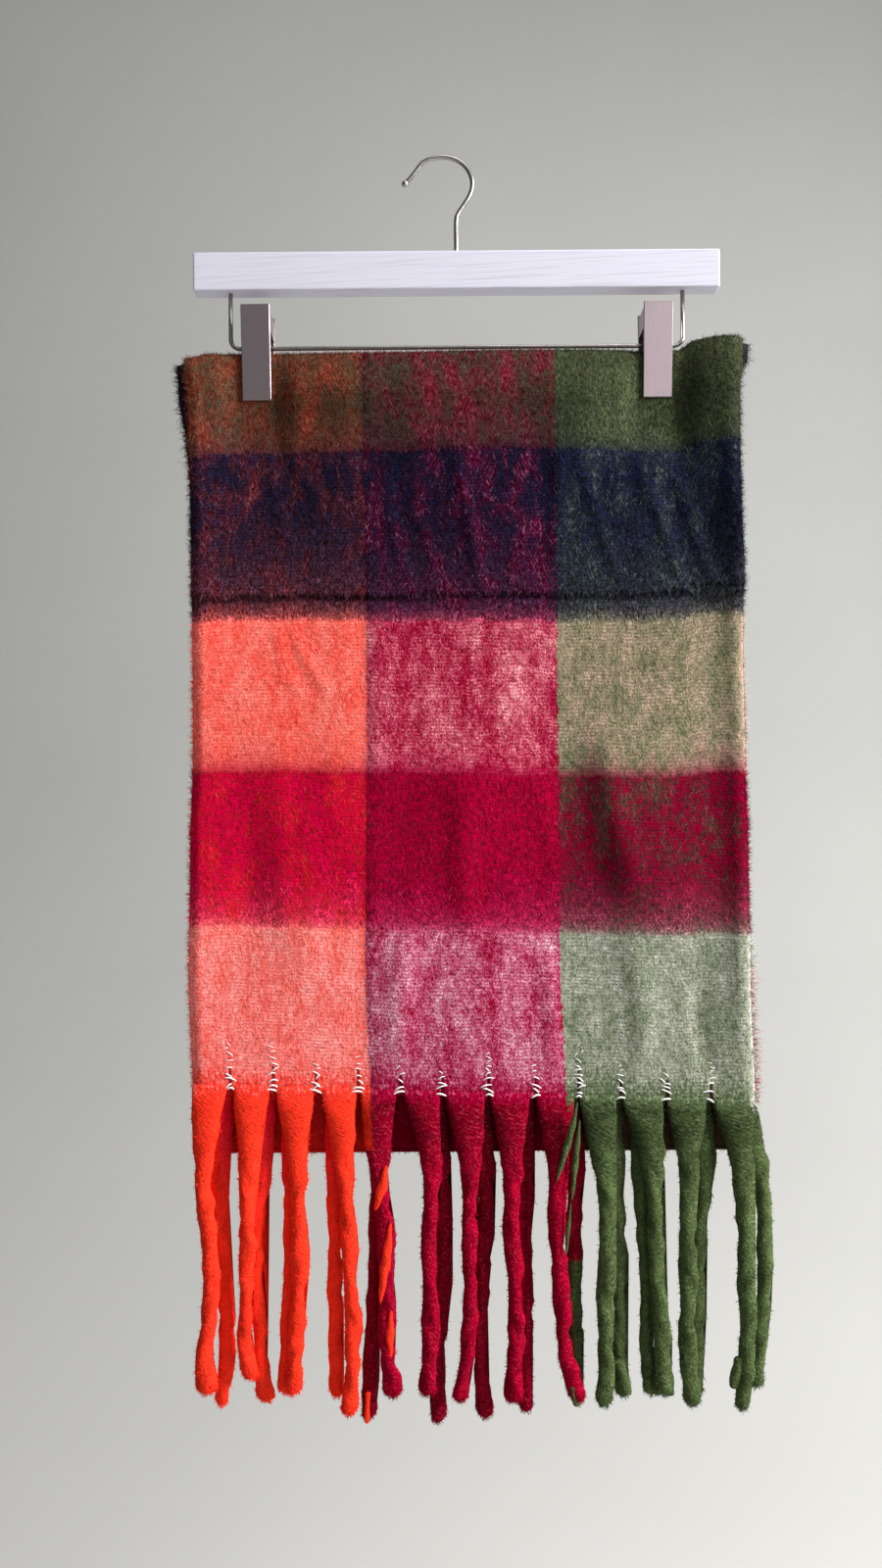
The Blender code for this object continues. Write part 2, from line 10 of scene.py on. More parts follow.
import bmesh
import bpy
import numpy as np
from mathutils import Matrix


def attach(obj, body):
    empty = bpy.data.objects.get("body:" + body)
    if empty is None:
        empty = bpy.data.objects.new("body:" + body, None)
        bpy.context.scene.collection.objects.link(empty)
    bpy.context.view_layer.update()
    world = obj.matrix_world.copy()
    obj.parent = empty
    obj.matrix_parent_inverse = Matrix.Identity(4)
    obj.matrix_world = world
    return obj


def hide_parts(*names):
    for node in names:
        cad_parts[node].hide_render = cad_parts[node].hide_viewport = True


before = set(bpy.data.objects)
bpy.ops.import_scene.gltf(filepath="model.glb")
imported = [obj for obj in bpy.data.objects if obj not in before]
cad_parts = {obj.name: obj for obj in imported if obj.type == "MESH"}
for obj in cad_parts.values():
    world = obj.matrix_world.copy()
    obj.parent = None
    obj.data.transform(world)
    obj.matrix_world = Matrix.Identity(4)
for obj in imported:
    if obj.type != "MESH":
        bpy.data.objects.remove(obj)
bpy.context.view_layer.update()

# ---------------------------------------------------------------- sizes shared with the solids

GAP = 0.0003  # between pieces that touch
BAR_LENGTH = 0.360
BAR_DEPTH = 0.014
BAR_HEIGHT = 0.0262
BAR_CENTRE_X = 0.0066
BAR_TOP_Z = -0.0655
WIRE_RADIUS = 0.0015
HOLE_DEPTH = 0.014  # how far hook and rod go into the bar
HOOK_TIP_RADIUS = 0.0022
ROD_Z = -0.1294
ROD_END_INSET = 0.0245  # from the bar's end to the rod's leg
ROD_BEND_RADIUS = 0.0065
CLIP_X = {"left": -0.1302, "right": 0.1431}
CLIP_WIDTH = 0.0197
CLIP_LENGTH = 0.0636
CLIP_PLATE = 0.0016
JAW_TIP_Z = -0.1670
JAW_TIP_Y = 0.0060  # inner face of a plate at its tip
JAW_SLOPE = 0.0945  # how the plates open upwards
GRIP_REACH = 0.0115  # the clip's hold on the stack beside its middle, how it fades there and below
GRIP_FADE = 0.018
GRIP_DROP = 0.003
GRIP_FADE_DOWN = 0.050

CLOTH = 0.0024  # the wall
FREE_HALF_DEPTH = 0.0070  # from the folded stack's middle to its outer layers
TURN_HEIGHT = 0.0075
EDGE_TOP_Z = -0.1400  # where the side edges reach the top turn
BOTTOM_TURN_Z = -0.6841
EDGE_LEFT_Z = -0.6370  # the first woven end, lower at its right
EDGE_RIGHT_Z = -0.6490
SECOND_EDGE_DROP = 0.0012  # the second woven end below the first
CREASE_Z = -0.3010  # the line that the folded scarf kept from its shelf
CREASE_DEPTH = 0.0012
CREASE_REACH = 0.0060
LIP_DEPTH = 0.0028  # the front layer's lip over that line, how it fades above and drops below
LIP_REACH = 0.0280
LIP_DROP = 0.0038
CURL_DEPTH = 0.0028  # how far and over what width the front selvedges turn back
CURL_REACH = 0.0062
CURL_LOST_Z = -0.262  # about here the right selvedge lies flat
CURL_LOST_REACH = 0.050
CREASE_WAVER = 0.0016  # how far a pressed crease strays from its straight line
FRONT_TASSEL_Y = -0.0134
SECOND_TASSEL_Y = -0.0036

# Top of the folded stack, across it
Crest = namedtuple("Crest", "x z")
CRESTS = (
    Crest(-0.190, -0.1395),
    Crest(-0.176, -0.1378),
    Crest(-0.163, -0.1345),
    Crest(-0.145, -0.1335),
    Crest(0.000, -0.1336),
    Crest(0.148, -0.1336),
    Crest(0.159, -0.1330),
    Crest(0.170, -0.1272),
    Crest(0.185, -0.1258),
    Crest(0.210, -0.1264),
)

# The side edges of each hanging layer
Edge = namedtuple("Edge", "z left right")
BOTTOM_EDGE = Edge(-0.690, -0.1740, 0.2030)
FRONT_EDGES = (
    Edge(-0.120, -0.1790, 0.2000),
    Edge(-0.146, -0.1790, 0.1990),
    Edge(-0.166, -0.1757, 0.1965),
    Edge(-0.240, -0.1752, 0.1968),
    Edge(-0.300, -0.1752, 0.1985),
    Edge(-0.340, -0.1752, 0.1984),
    Edge(-0.400, -0.1758, 0.1994),
    Edge(-0.480, -0.1785, 0.2012),
    Edge(-0.560, -0.1800, 0.2022),
    Edge(-0.650, -0.1775, 0.2055),
)
SECOND_EDGES = (
    Edge(-0.120, -0.1845, 0.2036),
    Edge(-0.140, -0.1840, 0.2036),
    Edge(-0.160, -0.1825, 0.1945),
    Edge(-0.200, -0.1775, 0.1935),
    Edge(-0.235, -0.1725, 0.1935),
    Edge(-0.360, -0.1725, 0.1965),
    Edge(-0.560, -0.1760, 0.2040),
    Edge(-0.650, -0.1730, 0.2070),
)
THIRD_EDGES = (*SECOND_EDGES[:5], BOTTOM_EDGE)
BACK_EDGES = (
    Edge(-0.120, -0.1745, 0.2000),
    Edge(-0.160, -0.1750, 0.1955),
    Edge(-0.360, -0.1760, 0.1975),
    Edge(-0.560, -0.1770, 0.2020),
    BOTTOM_EDGE,
)

# Soft hollows (plus) and swells (minus) that the whole stack shares
Sway = namedtuple("Sway", "x z reach_x reach_z depth")
SWAYS = (
    Sway(0.1580, -0.165, 0.0100, 0.060, 0.0030),
    Sway(0.1970, -0.165, 0.0290, 0.060, -0.0098),
    Sway(0.1965, -0.258, 0.0160, 0.050, -0.0068),
    Sway(0.2020, -0.440, 0.0220, 0.150, -0.0032),
    Sway(0.0450, -0.222, 0.0950, 0.080, -0.0115),
    Sway(-0.1930, -0.180, 0.0350, 0.070, -0.0118),
    Sway(-0.1850, -0.290, 0.0260, 0.060, -0.0036),
    Sway(-0.0650, -0.400, 0.0300, 0.170, -0.0022),
    Sway(0.0750, -0.460, 0.0320, 0.150, 0.0024),
    Sway(0.1600, -0.380, 0.0280, 0.120, -0.0022),
    Sway(-0.1500, -0.520, 0.0300, 0.110, 0.0020),
    Sway(0.0100, -0.600, 0.0450, 0.070, -0.0016),
)

# Middle line of each tassel: x at its root and at four heights, then its tip; the root's width and
# the rope's, and its dye
TASSEL_HEIGHTS = (-0.690, -0.730, -0.770, -0.810)
Tassel = namedtuple("Tassel", "root x690 x730 x770 x810 tip_x tip_z width rope dye")
FRONT_TASSELS = (
    Tassel(-0.1665, -0.1700, -0.1670, -0.1650, -0.1695, -0.1690, -0.842, 0.0210, 0.0105, "orange"),
    Tassel(-0.1375, -0.1400, -0.1400, -0.1410, -0.1420, -0.1380, -0.832, 0.0215, 0.0100, "orange"),
    Tassel(-0.1080, -0.1060, -0.1050, -0.1060, -0.1080, -0.1100, -0.843, 0.0225, 0.0105, "orange"),
    Tassel(-0.0780, -0.0740, -0.0720, -0.0700, -0.0690, -0.0720, -0.857, 0.0210, 0.0105, "orange"),
    Tassel(-0.0510, -0.0510, -0.0470, -0.0460, -0.0460, -0.0420, -0.845, 0.0215, 0.0110, "crimson"),
    Tassel(-0.0215, -0.0150, -0.0170, -0.0170, -0.0170, -0.0190, -0.844, 0.0215, 0.0105, "crimson"),
    Tassel(0.0080, 0.0115, 0.0100, 0.0105, 0.0090, 0.0030, -0.848, 0.0240, 0.0105, "crimson"),
    Tassel(0.0385, 0.0395, 0.0390, 0.0410, 0.0410, 0.0380, -0.849, 0.0240, 0.0105, "crimson"),
    Tassel(0.0695, 0.0705, 0.0690, 0.0720, 0.0740, 0.0830, -0.849, 0.0230, 0.0105, "crimson"),
    Tassel(0.0985, 0.1015, 0.1030, 0.1020, 0.1020, 0.1010, -0.852, 0.0220, 0.0105, "green"),
    Tassel(0.1290, 0.1350, 0.1360, 0.1370, 0.1400, 0.1400, -0.845, 0.0240, 0.0105, "green"),
    Tassel(0.1590, 0.1590, 0.1580, 0.1580, 0.1570, 0.1600, -0.852, 0.0240, 0.0105, "green"),
    Tassel(0.1905, 0.1955, 0.1960, 0.1970, 0.1980, 0.1940, -0.855, 0.0240, 0.0110, "green"),
)
SECOND_TASSELS = (
    Tassel(-0.1620, -0.1590, -0.1600, -0.1580, -0.1560, -0.1605, -0.855, 0.0200, 0.0100, "orange"),
    Tassel(-0.1320, -0.1310, -0.1350, -0.1350, -0.1330, -0.1300, -0.853, 0.0200, 0.0100, "orange"),
    Tassel(-0.1050, -0.1120, -0.1120, -0.1130, -0.1150, -0.1170, -0.846, 0.0210, 0.0095, "orange"),
    Tassel(-0.0760, -0.0820, -0.0820, -0.0820, -0.0820, -0.0810, -0.850, 0.0200, 0.0095, "orange"),
    Tassel(-0.0490, -0.0510, -0.0530, -0.0540, -0.0570, -0.0600, -0.865, 0.0200, 0.0100, "crimson"),
    Tassel(-0.0180, -0.0090, -0.0080, -0.0080, -0.0110, -0.0130, -0.868, 0.0200, 0.0100, "crimson"),
    Tassel(0.0130, 0.0210, 0.0210, 0.0190, 0.0170, 0.0200, -0.865, 0.0220, 0.0095, "crimson"),
    Tassel(0.0430, 0.0480, 0.0480, 0.0490, 0.0490, 0.0480, -0.861, 0.0220, 0.0095, "crimson"),
    Tassel(0.0740, 0.0830, 0.0820, 0.0820, 0.0820, 0.0810, -0.848, 0.0210, 0.0095, "mixed"),
    Tassel(0.1040, 0.1100, 0.1120, 0.1130, 0.1130, 0.1140, -0.851, 0.0210, 0.0095, "green"),
    Tassel(0.1340, 0.1290, 0.1290, 0.1320, 0.1310, 0.1340, -0.850, 0.0220, 0.0095, "green"),
    Tassel(0.1650, 0.1720, 0.1690, 0.1660, 0.1660, 0.1650, -0.850, 0.0210, 0.0100, "green"),
    Tassel(0.1960, 0.2080, 0.2120, 0.2120, 0.2090, 0.2060, -0.845, 0.0210, 0.0105, "green"),
)

# The hook's wire from its tip
Bend = namedtuple("Bend", "x z")
HOOK_BENDS = (
    Bend(-0.0283, -0.0166),
    Bend(-0.0246, -0.0128),
    Bend(-0.0200, -0.0070),
    Bend(-0.0160, -0.0023),
    Bend(-0.0098, 0.0006),
    Bend(-0.0010, 0.0015),
    Bend(0.0068, -0.0003),
    Bend(0.0135, -0.0052),
    Bend(0.0174, -0.0125),
    Bend(0.0178, -0.0195),
    Bend(0.0152, -0.0265),
    Bend(0.0106, -0.0333),
    Bend(0.0073, -0.0390),
    Bend(0.0066, -0.0450),
    Bend(0.0066, -0.0560),
)

# ---------------------------------------------------------------- the cloth's own sizes

WIDTH = 0.378  # of the cloth, selvedge to selvedge
FRONT_FALL = 0.4995  # metres of warp in each stretch, from the first woven end
TOP_TURN = 0.0228
BACK_FALL = 0.5371
BOTTOM_TURN = 0.0073
THIRD_FALL = 0.5365
INNER_TURN = 0.0075
SECOND_FALL = 0.5010
CREST = FRONT_FALL + TOP_TURN / 2
BACK_START = FRONT_FALL + TOP_TURN
BACK_END = BACK_START + BACK_FALL
THIRD_START = BACK_END + BOTTOM_TURN
THIRD_END = THIRD_START + THIRD_FALL
SECOND_START = THIRD_END + INNER_TURN
LENGTH = SECOND_START + SECOND_FALL

# Weft bands from the first woven end: metres of warp and yarn
Band = namedtuple("Band", "length yarn")
BANDS = (
    Band(0.1113, "white"),
    Band(0.1067, "crimson"),
    Band(0.1056, "peach"),
    Band(0.1131, "navy"),
    Band(0.1083, "green"),
    Band(0.1100, "orange"),
    Band(0.1100, "white"),
    Band(0.1100, "pink"),
    Band(0.1100, "navy"),
    # The crimson band round the bottom turn, made darker as painted shade
    Band(0.1450, "wine"),
    Band(0.1100, "green"),
    Band(0.1100, "peach"),
    Band(0.1100, "white"),
    Band(0.0700, "crimson"),
    # Navy on the inner turn, made near black and even as painted shade where the inner layers show beside the
    # outer ones
    Band(0.2300, "night"),
    Band(0.1100, "green"),
    Band(0.1400, "white"),
    Band(0.1120, "pink"),
)

DISPLAY_GAMMA = 2.2  # from display values to linear ones
# Each weft yarn: 8-bit display values, how far it hides the warp, how unevenly, how much of it is
# brushed up over the next band, and how strongly its own hairs show
Weft = namedtuple("Weft", "red green blue cover uneven lift hairy")
WEFTS = {
    "white": Weft(255, 240, 246, 0.348, 0.94, 0.42, 0.20),
    "crimson": Weft(138, 0, 43, 0.72, 3.10, 0.34, 0.88),
    "peach": Weft(255, 198, 190, 0.338, 1.05, 0.235, 0.20),
    "navy": Weft(18, 20, 37, 0.735, 2.50, 0.27, 1.60),
    "green": Weft(48, 50, 36, 0.665, 1.75, 0.22, 1.20),
    "orange": Weft(246, 104, 52, 0.52, 1.00, 0.40, 0.40),
    "pink": Weft(238, 120, 140, 0.48, 1.00, 0.40, 0.40),
    # The bottom turn's crimson, darkened as painted shade
    "wine": Weft(74, 0, 14, 0.36, 1.00, 0.40, 0.50),
    # The inner turn's navy, near black and even as painted shade
    "night": Weft(24, 23, 38, 0.96, 0.20, 0.30, 0.80),
}

# Warp dyes with the share of full cover that a weft gives them, half of it as 1, and where each
# stripe starts across the cloth from its left selvedge
WARPS = {"orange": (248, 54, 40, 0.555), "crimson": (144, 2, 41, 0.50), "green": (73, 89, 57, 0.545)}
STRIPES = (("orange", 0.0), ("crimson", 0.314), ("green", 0.663))
RIB_PITCH = 0.00235  # of the weft's rows along the cloth
THREAD_PITCH = 0.0027  # of the warp's threads across it
RISE = 0.026  # how far the fibres of a band rise into the one above, and more for a hairy one
RISE_IN_NAP = 0.042
RISE_CLOSE = 0.012  # how far the densest of them reach
# The check's ramps give this much of the cloth, which shows in front, most of their length
FINE_LENGTH = 0.560
FINE_SHARE = 0.80
DARK_THREADS = 0.3205  # a few darker warp threads beside the first change of stripe
DARK_THREADS_REACH = 0.0065
# The shelf's crease, darkened along its line as painted shadow
CREASE_ALONG = 0.3386  # where the shelf's line crosses the left selvedge
CREASE_CLIMB = 0.0100  # metres of warp that it gains for each metre across
CREASE_SHADOW_HALF_WIDTH = 0.0032  # half width of its dark line
END_FADE = 0.0160  # how far up from the woven end the weft thins out
SELVEDGE_FADE = 0.0055  # how far in from the selvedges the weft is closer

# Noises of the cloth's surface: cells to a metre across it and along it, detail and roughness
Noise = namedtuple("Noise", "across along detail rough")
NOISES = {
    "hairs": Noise(1150.0, 560.0, 2.0, 0.6),
    "streaks": Noise(500.0, 270.0, 2.0, 0.6),
    "tufts": Noise(260.0, 150.0, 2.0, 0.6),
    "clouds": Noise(105.0, 46.0, 3.0, 0.5),
    "wander": Noise(38.0, 16.0, 2.0, 0.5),
    "patches": Noise(38.0, 12.0, 2.0, 0.5),
}

# ---------------------------------------------------------------- the fringes' own sizes

YARNS = {"orange": (248, 57, 38), "crimson": (149, 0, 41), "green": (76, 90, 56)}  # 8-bit display values
ROPE_PITCH = 0.110  # one turn of a tassel's twist
ROPE_GRIDS = {"front": (20, 84), "second": (16, 60), "loose": (10, 26)}  # faces round it and along it
FLUFF_COUNTS = {"front": (1500, 260), "second": (900, 160)}  # straight and bent fibres a tassel
ROOT_SPREAD = 1.16  # of a tassel's root, over its solid's
ROOT_WALL = CLOTH * 1.15  # thickness of its flat root
DRAWN_SHARE = 0.36  # of its length, over which the root draws in to the rope
PLUMP_SHARE = 0.105  # and over which it grows as thick
# How light the tassels are: painted shade at their roots, where they lie in shadow, and painted light and
# shade at the second ones' tips
FRONT_ROOT_SHADE = {"orange": 0.95, "crimson": 0.66, "green": 0.55}
SECOND_ROOT_SHADE = {"orange": 0.80, "crimson": 0.30, "green": 0.40}
SECOND_TIP_LIGHT_AND_SHADE = {"orange": 1.15, "crimson": 0.75, "green": 1.10}
ORANGE_ROOT_SHADE = (0.86, 0.14, 1.90)  # tint of the second orange roots, in the shade of the front ones

OVER_ROPE_Y = -0.0042  # loose yarns with a lower y are wound over a rope
WOUND_TAPER = 0.42  # share of a wound yarn that runs out to a point at each end
FORK_TAPER = 0.06
# Yarns and forked ends beside the front tassels: three points, y in front of the ropes' middle
LooseYarn = namedtuple("LooseYarn", "x1 z1 x2 z2 x3 z3 y width dye")
LOOSE_YARNS = (
    LooseYarn(-0.0455, -0.6860, -0.0490, -0.7030, -0.0535, -0.7170, -0.0044, 0.0070, "orange"),
    LooseYarn(-0.0430, -0.7240, -0.0465, -0.7520, -0.0505, -0.7800, -0.0045, 0.0066, "orange"),
    LooseYarn(-0.0430, -0.7830, -0.0440, -0.8000, -0.0440, -0.8180, -0.0043, 0.0056, "orange"),
    LooseYarn(-0.0590, -0.8400, -0.0600, -0.8520, -0.0600, -0.8620, -0.0010, 0.0034, "orange"),
    LooseYarn(0.0835, -0.6440, 0.0785, -0.6660, 0.0685, -0.6990, -0.0050, 0.0048, "green"),
    LooseYarn(0.0850, -0.6560, 0.0815, -0.6880, 0.0790, -0.7120, -0.0046, 0.0042, "green"),
    LooseYarn(0.0785, -0.7120, 0.0765, -0.7300, 0.0750, -0.7480, -0.0052, 0.0028, "green"),
    LooseYarn(0.0790, -0.8360, 0.0800, -0.8450, 0.0815, -0.8500, -0.0040, 0.0036, "green"),
    LooseYarn(0.1105, -0.8200, 0.1140, -0.8340, 0.1165, -0.8440, -0.0005, 0.0072, "green"),
    LooseYarn(0.1420, -0.8180, 0.1440, -0.8320, 0.1450, -0.8450, -0.0005, 0.0066, "green"),
    LooseYarn(0.1925, -0.8180, 0.1895, -0.8300, 0.1885, -0.8400, -0.0010, 0.0072, "green"),
)

# Gaps between the front tassels, where the last weft threads show as small white loops, and how
# far up the cloth is open there
LoopGap = namedtuple("LoopGap", "x slit")
LOOP_GAPS = (
    LoopGap(-0.1520, 0.0165),
    LoopGap(-0.1225, 0.0190),
    LoopGap(-0.0932, 0.0150),
    LoopGap(-0.0645, 0.0180),
    LoopGap(-0.0357, 0.0160),
    LoopGap(-0.0070, 0.0140),
    LoopGap(0.0243, 0.0175),
    LoopGap(0.0564, 0.0150),
    LoopGap(0.0858, 0.0195),
    LoopGap(0.1145, 0.0150),
    LoopGap(0.1458, 0.0160),
    LoopGap(0.1757, 0.0135),
)
GAP_COLUMNS = (0.0010, 0.0048, 0.0130)  # shares of the width from a gap to the columns beside it
SLIT_WIDTH = 0.0030  # share of the width that each side of a slit is drawn back
LOOP_RADIUS = 0.00072  # of a loop's yarn at its thickest
LOOP_HALVES = (0.0024, 0.0054)  # half widths of the loops
LOOP_STEPS = (0.0024, 0.0060)  # from one loop up to the next

# Creases pressed into one layer: where a line starts and how far it runs, then its half width
# and its depth, plus for a hollow seen from outside
Crease = namedtuple("Crease", "x z run_x run_z width depth")
FRONT_CREASES = (
    Crease(-0.1750, -0.163, 0.380, 0.003, 0.0150, -0.0034),
    Crease(-0.0720, -0.146, -0.008, -0.080, 0.0200, -0.0024),
    Crease(0.0850, -0.146, 0.004, -0.085, 0.0200, -0.0026),
    Crease(-0.1320, -0.176, 0.026, -0.094, 0.0045, -0.0010),
    Crease(-0.1180, -0.172, 0.030, -0.070, 0.0040, -0.0008),
    Crease(0.0020, -0.205, 0.023, -0.094, 0.0030, -0.0015),
    Crease(0.0720, -0.200, 0.001, -0.090, 0.0050, -0.0016),
    Crease(-0.0450, -0.215, 0.018, -0.085, 0.0045, -0.0009),
    Crease(-0.0230, -0.230, 0.014, -0.070, 0.0036, -0.0007),
    Crease(0.0860, -0.210, 0.033, -0.088, 0.0038, -0.0014),
    Crease(0.1230, -0.200, 0.036, -0.100, 0.0036, -0.0016),
    Crease(0.1510, -0.220, 0.034, -0.084, 0.0046, -0.0020),
    Crease(0.1040, -0.205, 0.030, -0.080, 0.0030, -0.0006),
    Crease(-0.1070, -0.325, 0.024, -0.046, 0.0036, -0.0009),
    Crease(-0.1200, -0.320, 0.016, -0.050, 0.0050, -0.0006),
    Crease(0.1985, -0.200, 0.003, -0.430, 0.0110, -0.0036),
    Crease(0.1000, -0.398, 0.024, -0.110, 0.0115, -0.0034),
    Crease(0.1220, -0.385, 0.020, -0.160, 0.0280, -0.0036),
    Crease(0.0980, -0.400, 0.004, -0.110, 0.0100, 0.0010),
    Crease(0.0040, -0.430, 0.008, -0.100, 0.0080, -0.0017),
    Crease(0.0050, -0.410, 0.010, -0.090, 0.0330, -0.0022),
    Crease(0.0560, -0.420, 0.018, -0.080, 0.0090, -0.0012),
    Crease(-0.1420, -0.420, 0.004, -0.110, 0.0100, 0.0011),
    Crease(-0.1160, -0.410, 0.002, -0.130, 0.0090, -0.0012),
    Crease(-0.0950, -0.440, -0.006, -0.120, 0.0120, -0.0012),
    Crease(0.1250, -0.530, 0.004, -0.100, 0.0095, -0.0024),
    Crease(0.0640, -0.545, 0.005, -0.080, 0.0070, -0.0014),
    Crease(-0.0300, -0.530, -0.010, -0.090, 0.0100, -0.0020),
    Crease(0.1680, -0.560, 0.006, -0.075, 0.0070, 0.0016),
)
BACK_CREASES = (
    Crease(-0.155, -0.150, -0.006, -0.070, 0.0050, 0.0011),
    Crease(-0.112, -0.172, 0.030, -0.060, 0.0070, 0.0009),
    Crease(0.010, -0.155, -0.016, -0.080, 0.0110, -0.0010),
    Crease(0.118, -0.172, -0.034, -0.055, 0.0070, 0.0009),
    Crease(0.166, -0.150, 0.006, -0.085, 0.0060, 0.0014),
    Crease(0.070, -0.240, 0.022, -0.060, 0.0060, 0.0007),
    Crease(-0.060, -0.260, -0.020, -0.090, 0.0080, -0.0009),
    Crease(-0.120, -0.370, 0.008, -0.120, 0.0090, 0.0010),
    Crease(0.020, -0.380, 0.006, -0.130, 0.0090, 0.0010),
    Crease(0.130, -0.400, -0.010, -0.110, 0.0090, -0.0011),
    Crease(-0.020, -0.540, 0.010, -0.090, 0.0080, -0.0008),
    Crease(0.085, -0.560, -0.006, -0.085, 0.0080, 0.0009),
    Crease(-0.140, -0.560, -0.006, -0.080, 0.0070, 0.0008),
)

# ---------------------------------------------------------------- small helpers


def mix(low, high, share):
    return low + (high - low) * share


def ease(value):
    """0 to 1 with soft ends."""
    value = np.clip(value, 0.0, 1.0)
    return value * value * (3.0 - 2.0 * value)


def look_up(rows, at, key, column):
    """A column of a table, read between its rows with a soft start and end at each."""
    rows = sorted(rows, key=lambda row: getattr(row, key))
    keys = np.array([getattr(row, key) for row in rows])
    values = np.array([getattr(row, column) for row in rows])
    at = np.clip(at, keys[0], keys[-1])
    spot = np.clip(np.searchsorted(keys, at, side="right") - 1, 0, len(keys) - 2)
    share = ease((at - keys[spot]) / (keys[spot + 1] - keys[spot]))
    return mix(values[spot], values[spot + 1], share)


def through(points, steps):
    """A smooth curve (Catmull-Rom) through points."""
    points = np.array(points, dtype=float)
    padded = np.vstack([points[:1], points, points[-1:]])
    t = (np.arange(steps) / steps)[:, None]
    line = [
        0.5 * (2 * b + (c - a) * t + (2 * a - 5 * b + 4 * c - d) * t ** 2 + (3 * b - a - 3 * c + d) * t ** 3)
        for a, b, c, d in zip(padded, padded[1:], padded[2:], padded[3:])
    ]
    return np.vstack([*line, points[-1:]])


def unit(vectors):
    return vectors / np.maximum(np.linalg.norm(vectors, axis=-1, keepdims=True), 1e-9)


def along_line(points, share):
    """Metres gone, x and z at a share of the smooth line through some points."""
    line = through(points, 12)
    gone = np.append(0.0, np.cumsum(np.linalg.norm(np.diff(line, axis=0), axis=1)))
    at = share * gone[-1]
    return at, np.interp(at, gone, line[:, 0]), np.interp(at, gone, line[:, 1])


def link(thing):
    """Puts an object into the scene."""
    bpy.context.scene.collection.objects.link(thing)
    return thing


def piece_from(shape, name, material):
    """An object at the origin from a bmesh or a mesh."""
    mesh = shape
    if isinstance(shape, bmesh.types.BMesh):
        mesh = bpy.data.meshes.new(name)
        shape.to_mesh(mesh)
        shape.free()
    mesh.materials.append(material)
    return link(bpy.data.objects.new(name, mesh))


def grid_shape(columns, rows):
    """A bmesh grid of this many faces, with the shares across and along it of each vertex."""
    shape = bmesh.new()
    bmesh.ops.create_grid(shape, x_segments=columns, y_segments=rows, size=0.5)
    return shape, np.array([vert.co[:2] for vert in shape.verts]) + 0.5


def place_verts(shape, points):
    for vert, point in zip(shape.verts, points):
        vert.co = point


def smooth(piece):
    piece.data.polygons.foreach_set("use_smooth", [True] * len(piece.data.polygons))
    return piece


def join(name, pieces):
    """Several pieces made one, under a new name."""
    with bpy.context.temp_override(active_object=pieces[0], selected_editable_objects=pieces):
        bpy.ops.object.join()
    pieces[0].name = name
    pieces[0].data.name = name
    return pieces[0]


def keep(piece, slot, *nodes):
    """Rides on the part's one body and hides the solids that it stands for; slot, its finish, is not used."""
    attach(piece, "root")
    if nodes:
        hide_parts(*nodes)
    return piece


def set_map(mesh, name, places):
    """A UV map from one place for each vertex."""
    corner = np.empty(len(mesh.loops), dtype=np.int32)
    mesh.loops.foreach_get("vertex_index", corner)
    layer = mesh.uv_layers.new(name=name)
    layer.data.foreach_set("uv", np.asarray(places, dtype=np.float32)[corner].ravel())


def set_colour(mesh, name, colours):
    """A colour attribute from one linear colour for each vertex."""
    colours = np.asarray(colours, dtype=np.float32)
    full = np.ones((len(colours), 4), dtype=np.float32)
    full[:, :3] = colours
    mesh.color_attributes.new(name, "FLOAT_COLOR", "POINT").data.foreach_set("color", full.ravel())


# ---------------------------------------------------------------- how the cloth hangs


def jaw_face(z):
    """Inner face of a clip's plate, from the mid-plane."""
    return JAW_TIP_Y + JAW_SLOPE * (z - JAW_TIP_Z)


def held(x, z):
    """1 where a clip holds the stack, falling to 0 around it."""
    best = 0.0
    for centre in CLIP_X.values():
        beside = 1.0 - ease((np.abs(x - centre) - GRIP_REACH) / GRIP_FADE)
        below = 1.0 - ease((JAW_TIP_Z - GRIP_DROP - z) / GRIP_FADE_DOWN)
        best = np.maximum(best, beside * below)
    return best


def half_depth(x, z):
    """From the stack's middle to the middle of its outer layers."""
    pinched = jaw_face(z) - GAP - CLOTH / 2
    return mix(FREE_HALF_DEPTH, pinched, held(x, z))


def sway(x, z):
    """How far the whole stack stands behind the mid-plane."""
    total = 0.0
    for row in SWAYS:
        off = ((x - row.x) / row.reach_x) ** 2 + ((z - row.z) / row.reach_z) ** 2
        total = total + row.depth * np.exp(-off)
    return total * (1.0 - held(x, z))


def shelf_crease(z):
    """The sharp line that the folded scarf kept from its shelf."""
    return CREASE_DEPTH * np.exp(-np.abs(z - CREASE_Z) / CREASE_REACH)


def shelf_lip(x, z):
    """The front layer's lip over that line, standing out above it and dropping back below."""
    off = z - CREASE_Z - 0.0008 * np.sin(x * 47.0) - 0.0005 * np.sin(x * 131.0 + 1.0)
    return LIP_DEPTH * np.where(off > 0, np.exp(-off / LIP_REACH), ease(1.0 + off / LIP_DROP))


def pressed(creases, x, z):
    """Depth of one layer's own creases, plus for a hollow."""
    total = 0.0
    for row in creases:
        long = math.hypot(row.run_x, row.run_z)
        along = ((x - row.x) * row.run_x + (z - row.z) * row.run_z) / long ** 2
        off = ((x - row.x) * row.run_z - (z - row.z) * row.run_x) / long
        off = off + CREASE_WAVER * np.sin(along * 5.0 + row.x * 90.0)
        ends = ease((along + 0.15) / 0.4) * ease((1.15 - along) / 0.4)
        total = total + row.depth * ends * np.exp(-(off / row.width) ** 2)
    return total * (1.0 - held(x, z))


def front_share(x):
    """Share across the front layer at its woven end."""
    left, right = FRONT_EDGES[-1].left, FRONT_EDGES[-1].right
    return (x - left) / (right - left)


def front_edge_z(x):
    """The first woven end hangs lower at its right."""
    return mix(EDGE_LEFT_Z, EDGE_RIGHT_Z, front_share(x))


